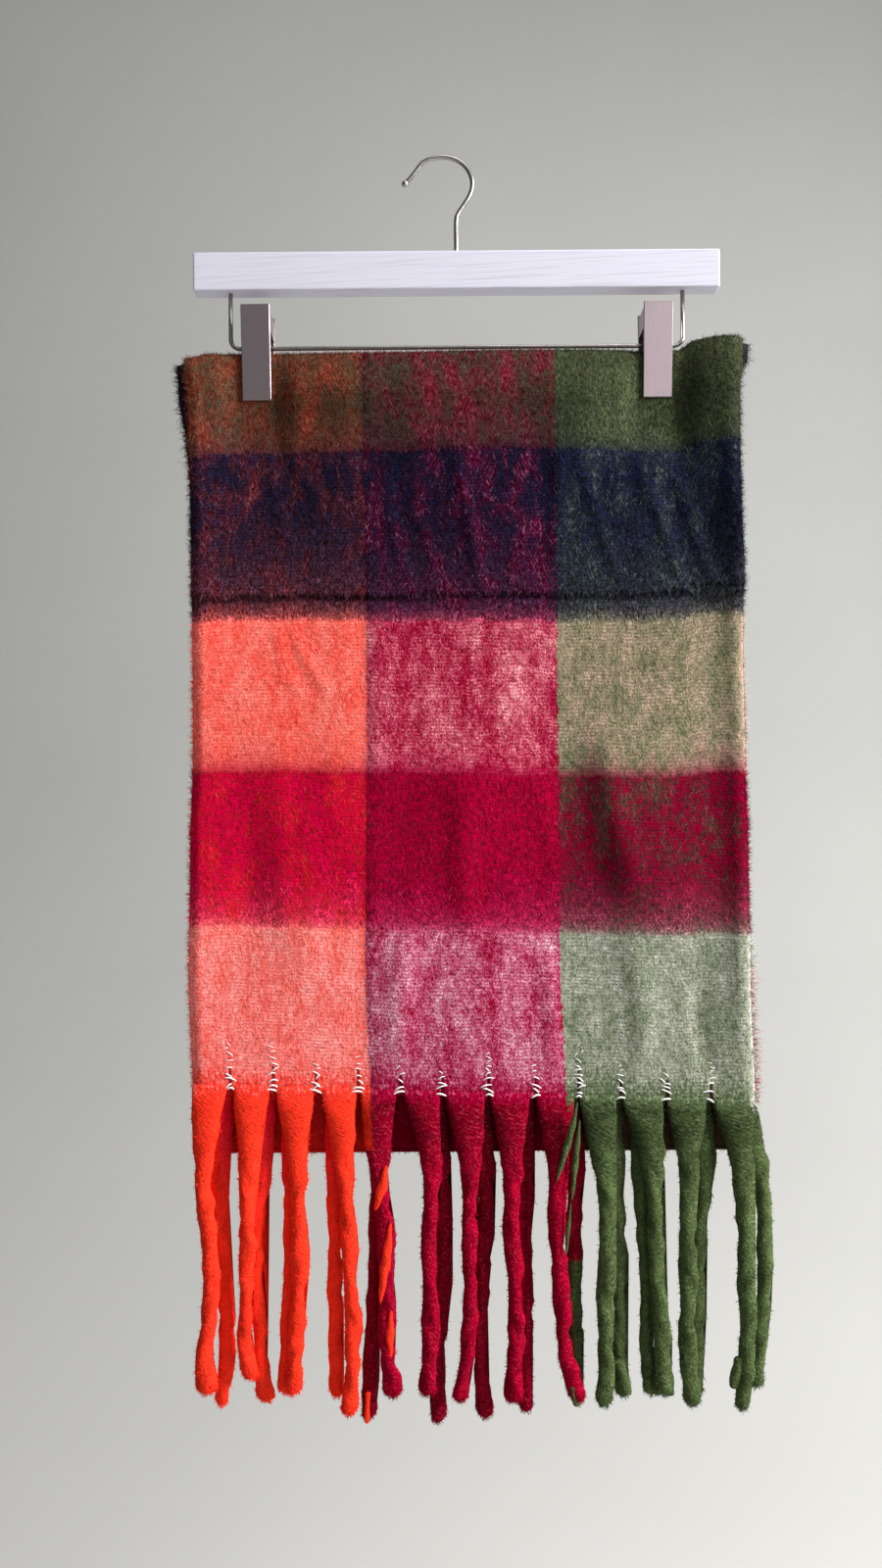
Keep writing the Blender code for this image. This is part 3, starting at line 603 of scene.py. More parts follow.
def second_edge_z(x):
    return front_edge_z(x) - SECOND_EDGE_DROP


def across(edges, share, z):
    return mix(look_up(edges, z, "z", "left"), look_up(edges, z, "z", "right"), share)


def top_centre(x):
    """Height where the layers leave the vertical and turn over."""
    return look_up(CRESTS, x, "x", "z") - CLOTH / 2 - TURN_HEIGHT


def curl(share, z):
    """How far the front layer's selvedges turn back towards the layers behind."""
    near = np.minimum(share, 1.0 - share) * WIDTH
    kept = 1.0 - 0.85 * np.exp(-((z - CURL_LOST_Z) / CURL_LOST_REACH) ** 2) * (share > 0.5)
    return CURL_DEPTH * kept * (1.0 - ease(near / CURL_REACH))


def hanging(edges, layer, share, z, creases=()):
    """A point of one hanging layer; layer is -1 in front to +1 behind."""
    x = across(edges, share, z)
    y = sway(x, z) + layer * half_depth(x, z) + shelf_crease(z) - layer * pressed(creases, x, z)
    if layer < -0.9:
        y = y - shelf_lip(x, z) + curl(share, z)
    return np.stack([x, y, z], axis=-1)


def over_top(front_edges, back_edges, layer, share, turned, creases=()):
    """A point on the half turn over the top, turned from 0 in front to 1 behind."""
    low = top_centre(across(front_edges, share, EDGE_TOP_Z))
    front_x = across(front_edges, share, low)
    x = mix(front_x, across(back_edges, share, low), turned)
    angle = math.pi * turned
    y = sway(x, low) - half_depth(x, low) * layer * np.cos(angle)
    y = y + (layer * pressed(creases, x, low) + (curl(share, low) if creases else 0.0)) * (1.0 - turned)
    return np.stack([x, y, low + TURN_HEIGHT * layer * np.sin(angle)], axis=-1)


def outer_point(share, along):
    """Middle of the outer stretch, share across it and metres along it from the first woven end."""
    share, along = np.broadcast_arrays(np.asarray(share, float), np.asarray(along, float))
    top = top_centre(across(FRONT_EDGES, share, EDGE_TOP_Z))
    low = BOTTOM_TURN_Z + CLOTH / 2 + FREE_HALF_DEPTH / 3
    end = front_edge_z(across(FRONT_EDGES, share, EDGE_LEFT_Z))
    climbed = np.clip(along / FRONT_FALL, 0, 1)
    front = hanging(FRONT_EDGES, -1.0, share, mix(end, top, climbed), FRONT_CREASES)
    turned = np.clip((along - FRONT_FALL) / TOP_TURN, 0, 1)
    turn = over_top(FRONT_EDGES, BACK_EDGES, 1.0, share, turned, FRONT_CREASES)
    fallen = np.clip((along - BACK_START) / BACK_FALL, 0, 1)
    back = hanging(BACK_EDGES, 1.0, share, mix(top, low, fallen), BACK_CREASES)
    angle = math.pi * np.clip((along - BACK_START - BACK_FALL) / BOTTOM_TURN, 0, 1)
    x = across(BACK_EDGES, share, low)
    y = sway(x, low) + FREE_HALF_DEPTH * (2 + np.cos(angle)) / 3
    bottom = np.stack([x, y, low - FREE_HALF_DEPTH * np.sin(angle) / 3], axis=-1)
    where = along[..., None]
    point = np.where(where < FRONT_FALL, front, np.where(where < BACK_START, turn, back))
    return np.where(where > BACK_END, bottom, point)


def inner_point(share, along):
    """Middle of the inner stretch, which goes up behind, over inside the first turn, and down."""
    share, along = np.broadcast_arrays(np.asarray(share, float), np.asarray(along, float))
    top = top_centre(across(SECOND_EDGES, share, EDGE_TOP_Z))
    low = BOTTOM_TURN_Z + CLOTH / 2 + FREE_HALF_DEPTH / 3
    risen = np.clip((along - THIRD_START) / THIRD_FALL, 0, 1)
    third = hanging(THIRD_EDGES, 1 / 3, share, mix(low, top, risen))
    turned = 1.0 - np.clip((along - THIRD_START - THIRD_FALL) / INNER_TURN, 0, 1)
    turn = over_top(SECOND_EDGES, THIRD_EDGES, 1 / 3, share, turned)
    fallen = np.clip((along - SECOND_START) / SECOND_FALL, 0, 1)
    end = second_edge_z(across(SECOND_EDGES, share, EDGE_LEFT_Z))
    second = hanging(SECOND_EDGES, -1 / 3, share, mix(top, end, fallen))
    where = along[..., None]
    return np.where(where < THIRD_END, third, np.where(where < SECOND_START, turn, second))


def facing(share, along):
    """The way out of the outer stretch's shown face."""
    step = 0.002
    run_x = outer_point(share + step, along) - outer_point(share - step, along)
    run_s = outer_point(share, along + step) - outer_point(share, along - step)
    return unit(np.cross(run_x, run_s))


# ---------------------------------------------------------------- shader building


def shader_tree(name):
    material = bpy.data.materials.new(name)
    material.use_nodes = True
    tree = material.node_tree
    return material, tree, tree.nodes["Principled BSDF"]


def fill(node, key, value):
    """Gives a node's input a value or another node's socket."""
    if isinstance(value, bpy.types.NodeSocket):
        node.id_data.links.new(value, node.inputs[key])
    else:
        node.inputs[key].default_value = value


def add(tree, kind, inputs=(), **settings):
    """One node; inputs are pairs of a socket's name or number and a value or another socket."""
    node = tree.nodes.new(kind)
    for key, value in settings.items():
        setattr(node, key, value)
    for key, value in dict(inputs).items():
        fill(node, key, value)
    return node


def tree_of(*values):
    """The node tree of the first socket among some values."""
    return next(value.id_data for value in values if isinstance(value, bpy.types.NodeSocket))


def sums(operation, *values, clamp=False):
    """A Math node's output."""
    inputs = list(enumerate(values))
    return add(tree_of(*values), "ShaderNodeMath", inputs, operation=operation, use_clamp=clamp).outputs[0]


def times(one, other, *offset, clamp=False):
    """One value times another, plus an offset where it is given."""
    return sums("MULTIPLY_ADD" if offset else "MULTIPLY", one, other, *offset, clamp=clamp)


def plus(one, other):
    return sums("ADD", one, other)


def less(one, other, clamp=False):
    return sums("SUBTRACT", one, other, clamp=clamp)


def over(one, other, clamp=False):
    return sums("DIVIDE", one, other, clamp=clamp)


def least(one, other):
    return sums("MINIMUM", one, other)


def most(one, other):
    return sums("MAXIMUM", one, other)


def weighed(start, *parts):
    """A start value with each noise's offset from its middle times its weight."""
    for value, weight in parts:
        start = times(less(value, 0.5), weight, start)
    return start


def grey(value):
    return add(tree_of(value), "ShaderNodeCombineColor", {0: value, 1: value, 2: value}).outputs[0]


def blend_colours(share, low, high, mode="MIX"):
    inputs = {0: share, 6: low, 7: high}
    tree = tree_of(share, low, high)
    return add(tree, "ShaderNodeMix", inputs, data_type="RGBA", blend_type=mode).outputs[2]


def tinted(colour, shade, mode="MULTIPLY"):
    """A colour times a grey shade, or with it added."""
    return blend_colours(1.0, colour, grey(shade), mode)


def numbers(vector):
    return add(tree_of(vector), "ShaderNodeSeparateXYZ", {0: vector}).outputs


def channels(colour):
    return add(tree_of(colour), "ShaderNodeSeparateColor", {0: colour}).outputs


def uv_place(tree, name):
    return add(tree, "ShaderNodeUVMap", uv_map=name).outputs[0]


def bump(height, strength, distance):
    """A Bump node's normal."""
    inputs = {"Height": height, "Strength": strength, "Distance": distance}
    return add(tree_of(height), "ShaderNodeBump", inputs).outputs[0]


def stretched_noise(place, scale, detail=2.0, rough=0.5):
    """Noise drawn out along one way: place is a vector socket, scale its three factors."""
    tree = tree_of(place)
    mapped = add(tree, "ShaderNodeMapping", {"Vector": place, "Scale": scale}).outputs[0]
    inputs = {"Vector": mapped, "Scale": 1.0, "Detail": detail, "Roughness": rough}
    return add(tree, "ShaderNodeTexNoise", inputs).outputs["Fac"]


def slanted_noise(place, degrees, width, length):
    """Noise drawn out along a slanting way, from the width and length of its cells in metres."""
    tree = tree_of(place)
    inputs = {"Vector": place, "Rotation": (0.0, 0.0, math.radians(degrees)), "Scale": (width, length, 1.0)}
    turned = add(tree, "ShaderNodeMapping", inputs, vector_type="TEXTURE").outputs[0]
    return add(tree, "ShaderNodeTexNoise", {"Vector": turned, "Scale": 1.0, "Detail": 1.0}).outputs["Fac"]


def held_ramp(value, places, colours):
    """A Color Ramp that holds each 8-bit colour from its place; a fourth number is the alpha."""
    node = add(tree_of(value), "ShaderNodeValToRGB", {"Fac": value})
    node.color_ramp.interpolation = "CONSTANT"
    elements = node.color_ramp.elements
    while len(elements) < len(places):
        elements.new(0.5)
    for element, place in zip(elements, places):
        element.position = place
    for element, colour in zip(elements, colours):
        element.color = (*(channel / 255 for channel in colour[:3]), colour[3])
    return node.outputs


# ---------------------------------------------------------------- the check


def ramp_place(along):
    """Where a length of the cloth falls in the check's ramps, less half a step of theirs."""
    fine = np.minimum(along, FINE_LENGTH) * FINE_SHARE / FINE_LENGTH
    rest = np.maximum(along - FINE_LENGTH, 0.0) * (1.0 - FINE_SHARE) / (LENGTH - FINE_LENGTH)
    return np.maximum(fine + rest - 0.5 / 255, 0.0)


def band_ramps(here):
    """The weft at a length of the cloth, the weft of the band below, and the weft's nature."""
    starts = np.cumsum([0.0] + [band.length for band in BANDS[:-1]])
    yarns = [WEFTS[band.yarn] for band in BANDS]
    below = [yarns[0], *yarns[:-1]]
    natures = [(255 * yarn.uneven / 3, 255 * yarn.hairy / 2, 255 * lower.lift, start)
               for yarn, lower, start in zip(yarns, below, starts)]
    at = times(most(less(here, FINE_LENGTH), 0.0), (1.0 - FINE_SHARE) / (LENGTH - FINE_LENGTH))
    at = times(least(here, FINE_LENGTH), FINE_SHARE / FINE_LENGTH, at)
    places = ramp_place(starts)
    colours = ([yarn[:4] for yarn in yarns], [yarn[:4] for yarn in below], natures)
    return [held_ramp(at, places, rows) for rows in colours]


def thread_dots(u, v, clouds, wander, tufts, streaks):
    """Bright and dark where the weft's rows and the warp's threads cross, lost in the nap's clouds."""
    rows = times(wander, 14.0, times(v, 2 * math.pi / RIB_PITCH))
    rows = sums("SINE", times(tufts, 5.0, rows))
    columns = times(clouds, 9.0, times(u, 2 * math.pi / THREAD_PITCH))
    columns = sums("SINE", times(streaks, 5.0, columns))
    dots = times(rows, times(columns, 0.40, 0.70))
    return times(dots, times(clouds, 2.4, -0.55))


def new_group(name, outputs):
    """A node group with these outputs, and its output node."""
    group = bpy.data.node_groups.new(name, "ShaderNodeTree")
    for label, kind in outputs:
        group.interface.new_socket(label, in_out="OUTPUT", socket_type=kind)
    return group, group.nodes.new("NodeGroupOutput")


def weft_cover(u, v, noises, dots, nature, takes, own):
    """How far the weft hides the warp, and how much of the yarns is left towards the woven end."""
    hairs, streaks, tufts, clouds, _, patches = noises
    # A hairy weft mixes with the warp in soft patches, a smooth one in small specks
    small = weighed(-0.07, (most(hairs, streaks), 1.20), (hairs, 0.42))
    small = times(small, times(times(nature[1], 2.0), -0.45, 1.12))
    patchy = weighed(small, (tufts, 0.50), (clouds, 0.75), (patches, 0.60))
    patchy = times(dots, 0.09, patchy)
    patchy = times(patchy, times(takes, -4.8, 5.90))
    patchy = most(times(patchy, times(nature[0], 3.0)), -0.48)
    left = over(times(less(streaks, 0.5), 0.040, v), END_FADE, clamp=True)
    cover = times(times(plus(patchy, own), takes), left)
    cover = least(most(cover, 0.02), 0.97)
    # The turned weft covers the selvedges
    edge = least(plus(u, 0.003), less(WIDTH, u))
    edge = times(less(streaks, 0.5), 0.0080, edge)
    selvedge = less(1.0, over(edge, SELVEDGE_FADE), clamp=True)
    return most(cover, times(selvedge, 0.70)), left


def red_gain(weft, warp):
    """How a red weft takes on some of the warp's own brightness."""
    red, green = channels(weft)[:2]
    red = times(less(red, green), 3.0, -0.75, clamp=True)
    gain = times(less(channels(warp)[0], 0.576), 0.70)
    return times(gain, red, 1.0)


def risen_share(rise, nature, clouds, patches):
    """How thick the fibres of the band below lie, from how far above its end they have risen."""
    reach = most(weighed(0.80, (clouds, 1.8), (patches, 2.0)), 0.25)
    reach = times(reach, times(times(nature[1], 2.0), RISE_IN_NAP, RISE))
    close = less(1.0, over(rise, RISE_CLOSE), clamp=True)
    rise = less(1.0, over(rise, reach), clamp=True)
    rise = times(times(rise, rise), nature[2])
    return times(times(close, close), 0.42, rise)


def crease_shadow_and_dark_threads(u, v, side, noises):
    """The shelf's line across the cloth as a painted shadow, and the darker warp threads along it, each from
    0 to 1.
    """
    line = weighed(v, (noises[1], 0.0016), (noises[2], 0.0026), (noises[4], 0.0045))
    line = times(u, -CREASE_CLIMB, line)
    line = over(sums("ABSOLUTE", less(line, CREASE_ALONG)), CREASE_SHADOW_HALF_WIDTH)
    threads = over(less(side, DARK_THREADS * WIDTH), DARK_THREADS_REACH)
    return less(1.0, line, clamp=True), less(1.0, sums("ABSOLUTE", threads), clamp=True)


def check_group():
    """Colour and height of brushed block-check cloth, from its place across and along in metres."""
    group, out = new_group("block_check", (("Colour", "NodeSocketColor"), ("Height", "NodeSocketFloat")))
    place = uv_place(group, "weave")
    noises = [stretched_noise(place, (noise.across, noise.along, 1.0), noise.detail, noise.rough)
              for noise in NOISES.values()]
    hairs, streaks, tufts, clouds, wander, patches = noises
    u, v = numbers(place)[:2]

    here = weighed(v, (hairs, 0.0075), (streaks, 0.0075), (tufts, 0.0050), (wander, 0.0050))
    weft, risen, natures = band_ramps(here)
    nature = channels(natures[0])
    hairy = times(nature[1], 2.0)
    side = times(tufts, 0.0050, plus(u, -0.0025))
    side = times(less(hairs, 0.5), 0.0040, side)
    warp = held_ramp(over(side, WIDTH), [start for _, start in STRIPES], [WARPS[dye] for dye, _ in STRIPES])
    takes = times(warp["Alpha"], 2.0)
    dots = thread_dots(u, v, clouds, wander, tufts, streaks)
    cover, left = weft_cover(u, v, noises, dots, nature, takes, weft["Alpha"])

    # Under a dark, hairy weft the warp shows through a haze of its fibres
    haze = times(most(less(hairy, 0.8), 0.0), 0.40)
    bright = blend_colours(1.0, weft[0], weft[0], "ADD")
    seen = blend_colours(haze, warp[0], bright)
    colour = blend_colours(cover, seen, tinted(weft[0], red_gain(weft[0], warp[0])))

    # The nap is brushed up the cloth, so each band's fibres rise into the one above it
    beneath = blend_colours(times(risen["Alpha"], takes), warp[0], risen[0])
    veil = weighed(1.0, (hairs, 2.6), (streaks, 1.8), (tufts, 0.9))
    veil = times(most(veil, 0.0), risen_share(less(here, natures["Alpha"]), nature, clouds, patches))
    colour = blend_colours(times(veil, left, clamp=True), colour, beneath)

    fine = weighed(0.0, (hairs, 1.3), (streaks, 1.1), (tufts, 0.8), (clouds, 0.5))
    shade = times(dots, 0.045, times(fine, hairy, 0.985))
    # Painted shadow along the shelf's crease line, and the darker warp threads
    line, threads = crease_shadow_and_dark_threads(u, v, side, noises)
    colour = tinted(colour, times(threads, -0.16, times(line, -0.36, shade)))

    # Single fibres that lie across each other, lighter than the cloth as painted highlights, more of them
    # where the weft is thin
    bare = times(less(1.0, cover), 0.25, 0.03)
    crossed = most(slanted_noise(place, 24.0, 0.0011, 0.0065), slanted_noise(place, -31.0, 0.0010, 0.0055))
    crossed = times(crossed, 5.0, -2.80, clamp=True)
    colour = tinted(colour, times(times(crossed, hairy), bare), "ADD")
    height = weighed(0.5, (streaks, 0.6), (hairs, 0.4), (tufts, 0.5))
    height = times(crossed, 0.15, times(dots, 0.16, height))
    fill(out, "Colour", add(group, "ShaderNodeGamma", {"Color": colour, "Gamma": DISPLAY_GAMMA}).outputs[0])
    fill(out, "Height", height)
    return group


# ---------------------------------------------------------------- materials


def matt(shader, roughness=0.95, sheen=0.03):
    """Soft wool, with next to no gloss of its own."""
    fill(shader, "Roughness", roughness)
    fill(shader, "Specular IOR Level", 0.02)
    fill(shader, "Sheen Weight", sheen)
    fill(shader, "Sheen Roughness", 0.45)


def brushed_cloth(group):
    material, tree, shader = shader_tree("brushed_cloth")
    check = add(tree, "ShaderNodeGroup", node_tree=group).outputs
    fill(shader, "Base Color", check["Colour"])
    fill(shader, "Normal", bump(check["Height"], 0.7, 0.0008))
    matt(shader)
    return material


def brushed_nap(group):
    """The raised fibres: the cloth's colour at each root, lighter towards the tip and brighter on some fibres
    than others, painted highlights of the light they catch.
    """
    material, tree, shader = shader_tree("brushed_nap")
    check = add(tree, "ShaderNodeGroup", node_tree=group).outputs
    own, along = numbers(uv_place(tree, "strand"))[:2]
    lift = times(along, 0.20, times(sums("POWER", own, 2.5), 0.9, 0.68))
    fill(shader, "Base Color", tinted(check["Colour"], lift))
    matt(shader, 0.9, 0.05)
    return material


def fringe_yarn(group):
    """Plush yarn: the dye of each tassel with its painted shade, the small slanting slubs of its felted
    threads, and painted highlights on them.
    """
    material, tree, shader = shader_tree("fringe_yarn")
    check = add(tree, "ShaderNodeGroup", node_tree=group).outputs
    # The dye attribute holds each yarn's colour with painted shade towards the tassels' roots and painted
    # light and shade down the second tassels
    dye = add(tree, "ShaderNodeVertexColor", layer_name="dye").outputs[0]
    place = uv_place(tree, "yarn")
    round_it, along = numbers(place)[:2]
    slanted = add(tree, "ShaderNodeCombineXYZ", {0: times(along, 24.0, round_it), 1: along}).outputs[0]
    slubs = stretched_noise(slanted, (23.0, 460.0, 1.0), 2.0, 0.6)
    fibres = stretched_noise(place, (28.0, 560.0, 1.0), 2.0, 0.6)
    mottle = stretched_noise(place, (3.0, 90.0, 1.0), 3.0, 0.6)
    # The felted red yarns are smoother than the green ones
    rough = less(1.0, times(channels(dye)[0], 1.6, clamp=True))
    shade = weighed(0.0, (slubs, 2.2), (fibres, 1.2), (mottle, 1.8))
    colour = tinted(dye, times(shade, times(rough, 0.60, 0.40), 0.99))
    # Painted highlights: pale glints where the slubs and fibres stand out, few on the smoother red yarns
    glints = times(most(slubs, fibres), 5.0, -2.85, clamp=True)
    colour = tinted(colour, times(glints, times(rough, 0.060, 0.008)), "ADD")
    # Above the woven end the root is still cloth
    fallen = numbers(uv_place(tree, "weave"))[1]
    fallen = weighed(fallen, (slubs, 0.020), (mottle, 0.010))
    colour = blend_colours(times(fallen, -160.0, clamp=True), check["Colour"], colour)
    fill(shader, "Base Color", colour)
    fill(shader, "Normal", bump(times(slubs, 0.8, times(fibres, 0.4)), 1.0, 0.0016))
    matt(shader, 0.95, 0.0)
    return material


def fringe_fluff():
    material, tree, shader = shader_tree("fringe_fluff")
    # The dye attribute holds the tassel's colour with its painted shade; each fibre grows lighter towards its
    # tip, a painted highlight
    dye = add(tree, "ShaderNodeVertexColor", layer_name="dye").outputs[0]
    along = numbers(uv_place(tree, "strand"))[1]
    fill(shader, "Base Color", tinted(dye, times(along, 0.25, 0.95)))
    matt(shader, 0.95, 0.0)
    return material


def loop_yarn():
    material, tree, shader = shader_tree("loop_yarn")
    place = add(tree, "ShaderNodeTexCoord").outputs["Object"]
    fuzz = stretched_noise(place, (900.0, 900.0, 900.0))
    fill(shader, "Base Color", blend_colours(fuzz, (0.86, 0.80, 0.80, 1.0), (0.98, 0.97, 0.97, 1.0)))
    matt(shader, 0.8, 0.2)
    return material


def painted_wood():
    """White satin paint, with the open grain's fine slanting lines still showing through."""
    material, tree, shader = shader_tree("painted_wood")
    place = add(tree, "ShaderNodeTexCoord").outputs["Object"]
    slant = (0.0, math.radians(3.0), 0.0)
    turned = add(tree, "ShaderNodeMapping", {"Vector": place, "Rotation": slant}).outputs[0]
    grain = stretched_noise(turned, (14.0, 420.0, 620.0), 3.0, 0.65)
    figure = stretched_noise(turned, (6.0, 60.0, 90.0))
    lines = add(tree, "ShaderNodeMapRange", {"Value": grain, "From Min": 0.50, "From Max": 0.68}).outputs[0]
    worn = times(lines, times(figure, 0.5, 0.15))
    fill(shader, "Base Color", blend_colours(worn, (0.66, 0.65, 0.76, 1.0), (0.47, 0.45, 0.56, 1.0)))
    fill(shader, "Normal", bump(times(lines, -1.0), 0.35, 0.0003))
    fill(shader, "Roughness", times(figure, 0.2, 0.32))
    return material


def metal(name, colour, dark, scale, bump_depth, uneven):
    """Worn metal with a faint drawn grain along scale's shortest factor."""
    material, tree, shader = shader_tree(name)
    place = add(tree, "ShaderNodeTexCoord").outputs["Object"]
    grain = stretched_noise(place, scale, 3.0, 0.6)
    spots = stretched_noise(place, (90.0, 90.0, 90.0), 3.0)
    share = times(grain, 0.6, times(spots, 0.8, -0.35), clamp=True)
    fill(shader, "Base Color", blend_colours(share, (*colour, 1.0), (*dark, 1.0)))
    fill(shader, "Roughness", times(grain, uneven, 0.30 - uneven / 2))
    fill(shader, "Normal", bump(grain, 0.15, bump_depth))
    fill(shader, "Metallic", 1.0)
    return material


# ---------------------------------------------------------------- camera, backdrop and light

CAMERA_PLACE = (-0.0067, -0.811, -0.4298)
CAMERA_ROLL = 0.00785
CAMERA_LENS = 27.05  # millimetres, on a frame 36 wide
FLOOR_Z = -1.55
WALL_Y = 4.2
BACKDROP_BEND = 3.2  # radius between the floor and the wall


def camera():
    data = bpy.data.cameras.new("front_camera")
    data.lens = CAMERA_LENS
    data.sensor_width = 36.0
    eye = link(bpy.data.objects.new("front_camera", data))
    eye.location = CAMERA_PLACE
    eye.rotation_euler = (math.pi / 2, CAMERA_ROLL, 0.0)
    bpy.context.scene.camera = eye


def backdrop():
    """A pale floor that curves up into a far wall."""
    shape = bmesh.new()
    middle_y, middle_z = WALL_Y - BACKDROP_BEND, FLOOR_Z + BACKDROP_BEND
    profile = [(-7.0, FLOOR_Z), (middle_y, FLOOR_Z)]
    for step in range(1, 25):
        angle = math.pi / 2 * step / 24
        out, down = BACKDROP_BEND * math.sin(angle), BACKDROP_BEND * math.cos(angle)
        profile.append((middle_y + out, middle_z - down))
    profile.append((WALL_Y, 6.0))
    line = [shape.verts.new((-8.0, y, z)) for y, z in profile]
    edges = [shape.edges.new(pair) for pair in zip(line, line[1:])]
    made = bmesh.ops.extrude_edge_only(shape, edges=edges)["geom"]
    far = [part for part in made if isinstance(part, bmesh.types.BMVert)]
    bmesh.ops.translate(shape, verts=far, vec=(16.0, 0.0, 0.0))
    bmesh.ops.recalc_face_normals(shape, faces=shape.faces)
    material, tree, shader = shader_tree("pale_backdrop")
    place = add(tree, "ShaderNodeTexCoord").outputs["Object"]
    cloudy = stretched_noise(place, (0.8, 0.8, 0.8), 3.0)
    # Painted light: the backdrop is darker on the floor and grows lighter up the wall, with soft cloudy
    # patches
    share = weighed(times(numbers(place)[2], 0.14, 0.40), (cloudy, 0.6))
    fill(shader, "Base Color", blend_colours(share, (0.57, 0.57, 0.555, 1.0), (0.75, 0.75, 0.73, 1.0)))
    fill(shader, "Roughness", 0.9)
    smooth(piece_from(shape, "backdrop", material))


def area_light(name, place, aim, size, power, colour):
    data = bpy.data.lights.new(name, "AREA")
    data.shape = "RECTANGLE"
    data.size, data.size_y = size
    data.energy = power
    data.color = colour
    lamp = link(bpy.data.objects.new(name, data))
    lamp.location = place
    x, y, z = np.array(aim) - np.array(place)
    lamp.rotation_euler = (math.atan2(math.hypot(x, y), -z), 0.0, math.atan2(x, -y) + math.pi)


def light():
    middle = (0.0, 0.0, -0.43)
    area_light("window", (2.25, -0.85, 0.60), middle, (0.9, 1.6), 150.0, (1.0, 0.985, 0.965))
    area_light("card", (0.78, -2.7, 0.30), middle, (0.95, 1.1), 6.0, (0.99, 0.98, 1.0))
    area_light("low_card", (-0.60, -2.7, 0.30), middle, (0.95, 1.1), 0.7, (0.99, 0.98, 1.0))
    area_light("top", (0.5, -0.5, 1.8), middle, (1.2, 1.2), 22.0, (1.0, 1.0, 1.0))
    area_light("wall_wash", (3.3, 0.6, 0.4), (0.6, 4.0, 0.3), (1.4, 2.6), 79.0, (1.0, 1.0, 0.985))
    world = bpy.data.worlds.new("studio")
    world.use_nodes = True
    ground = world.node_tree.nodes["Background"]
    fill(ground, "Color", (0.83, 0.84, 0.84, 1.0))
    fill(ground, "Strength", 0.14)
    bpy.context.scene.world = world
    bpy.context.scene.view_settings.view_transform = "Standard"


# ---------------------------------------------------------------- cloth


def spread(*stretches):
    """Places from stretches of (start, end, spacing), each start kept once, with the last end."""
    places = [np.linspace(start, end, max(2, round((end - start) / spacing) + 1))[:-1]
              for start, end, spacing in stretches]
    return np.append(np.concatenate(places), stretches[-1][1])


def outer_columns():
    """Shares across the outer stretch, closer beside each gap, with the gaps' shares and half widths."""
    cuts = [front_share(gap.x) for gap in LOOP_GAPS]
    near, far = GAP_COLUMNS[0], GAP_COLUMNS[-1]
    shares = [0.0, 0.0030, 0.0090, 1.0, 0.9970, 0.9910]
    for cut in cuts:
        shares += [cut - step for step in GAP_COLUMNS] + [cut + step for step in GAP_COLUMNS]
    for low, high in zip([0.0090, *[cut + far for cut in cuts]], [*[cut - far for cut in cuts], 0.9910]):
        shares += list(np.linspace(low, high, 8)[1:-1])
    return np.array(sorted(shares)), cuts, near


def cloth_grid(columns, rows):
    """A bmesh grid and the place of each vertex in columns and rows."""
    steps = (len(columns) - 1, len(rows) - 1)
    shape, spots = grid_shape(*steps)
    column, row = np.rint(spots * steps).astype(int).T
    return shape, column, row


def finished_cloth(shape, name, share, along, material):
    """A stretch with its place in the check and the cloth's thickness."""
    cloth = smooth(piece_from(shape, name, material))
    set_map(cloth.data, "weave", np.stack([share * WIDTH, along], axis=-1))
    solid = cloth.modifiers.new("wall", "SOLIDIFY")
    solid.thickness = CLOTH
    solid.offset = 0.0
    solid.use_even_offset = True
    return cloth


def outer_cloth(material):
    columns, cuts, near = outer_columns()
    rows = spread((0.0, 0.024, 0.0016), (0.024, 0.332, 0.0036), (0.332, 0.350, 0.0008),
                  (0.350, FRONT_FALL, 0.0034), (FRONT_FALL, BACK_START, 0.0020),
                  (BACK_START, BACK_END, 0.0064), (BACK_END, THIRD_START, 0.0010))
    shape, column, row = cloth_grid(columns, rows)
    share = columns[column].copy()
    along = rows[row]
    for gap, cut in zip(LOOP_GAPS, cuts):
        open_by = SLIT_WIDTH * ease(1.15 - along / gap.slit)
        beside = np.abs(share - cut) < near * 1.5
        share[beside] += (np.sign(share - cut) * open_by)[beside]
    place_verts(shape, outer_point(share, along))
    shape.verts.index_update()
    opened = []
    for face in shape.faces:
        corners = [vert.index for vert in face.verts]
        middle = columns[column[corners]].mean()
        height = along[corners].max()
        if any(abs(middle - cut) < near and height < gap.slit for gap, cut in zip(LOOP_GAPS, cuts)):
            opened.append(face)
    bmesh.ops.delete(shape, geom=opened, context="FACES_ONLY")
    return finished_cloth(shape, "outer_cloth", share, along, material)


def inner_cloth(material):
    columns = spread((0.0, 0.02, 0.007), (0.02, 0.98, 0.0165), (0.98, 1.0, 0.007))
    rows = spread((THIRD_START, THIRD_END, 0.0065), (THIRD_END, SECOND_START, 0.0012),
                  (SECOND_START, LENGTH, 0.0065))
    shape, column, row = cloth_grid(columns, rows)
    share, along = columns[column], rows[row]
    place_verts(shape, inner_point(share, along))
    return finished_cloth(shape, "inner_cloth", share, along, material)


# ---------------------------------------------------------------- fibres

BAKE_SPOT = 0.0012  # size of one strand's spot in the map for baking
FIBRE_TAPER = np.array([1.0, 0.75])  # thickness at a fibre's root and at its bend
NAP_LENGTHS = (0.0016, 0.0034)  # shortest and longest of the straight ones
NAP_RADII = (0.00010, 0.00019)  # thinnest and thickest, at the root
FLUFF_LENGTHS = (0.0012, 0.0036)
FLUFF_RADII = (0.00016, 0.00034)
CURL_RADII = (0.00020, 0.00015)  # of a curling fibre at its root and at its bend
EDGE_INSET = 0.0012  # how far in from the selvedge the edge's fibres take their colour


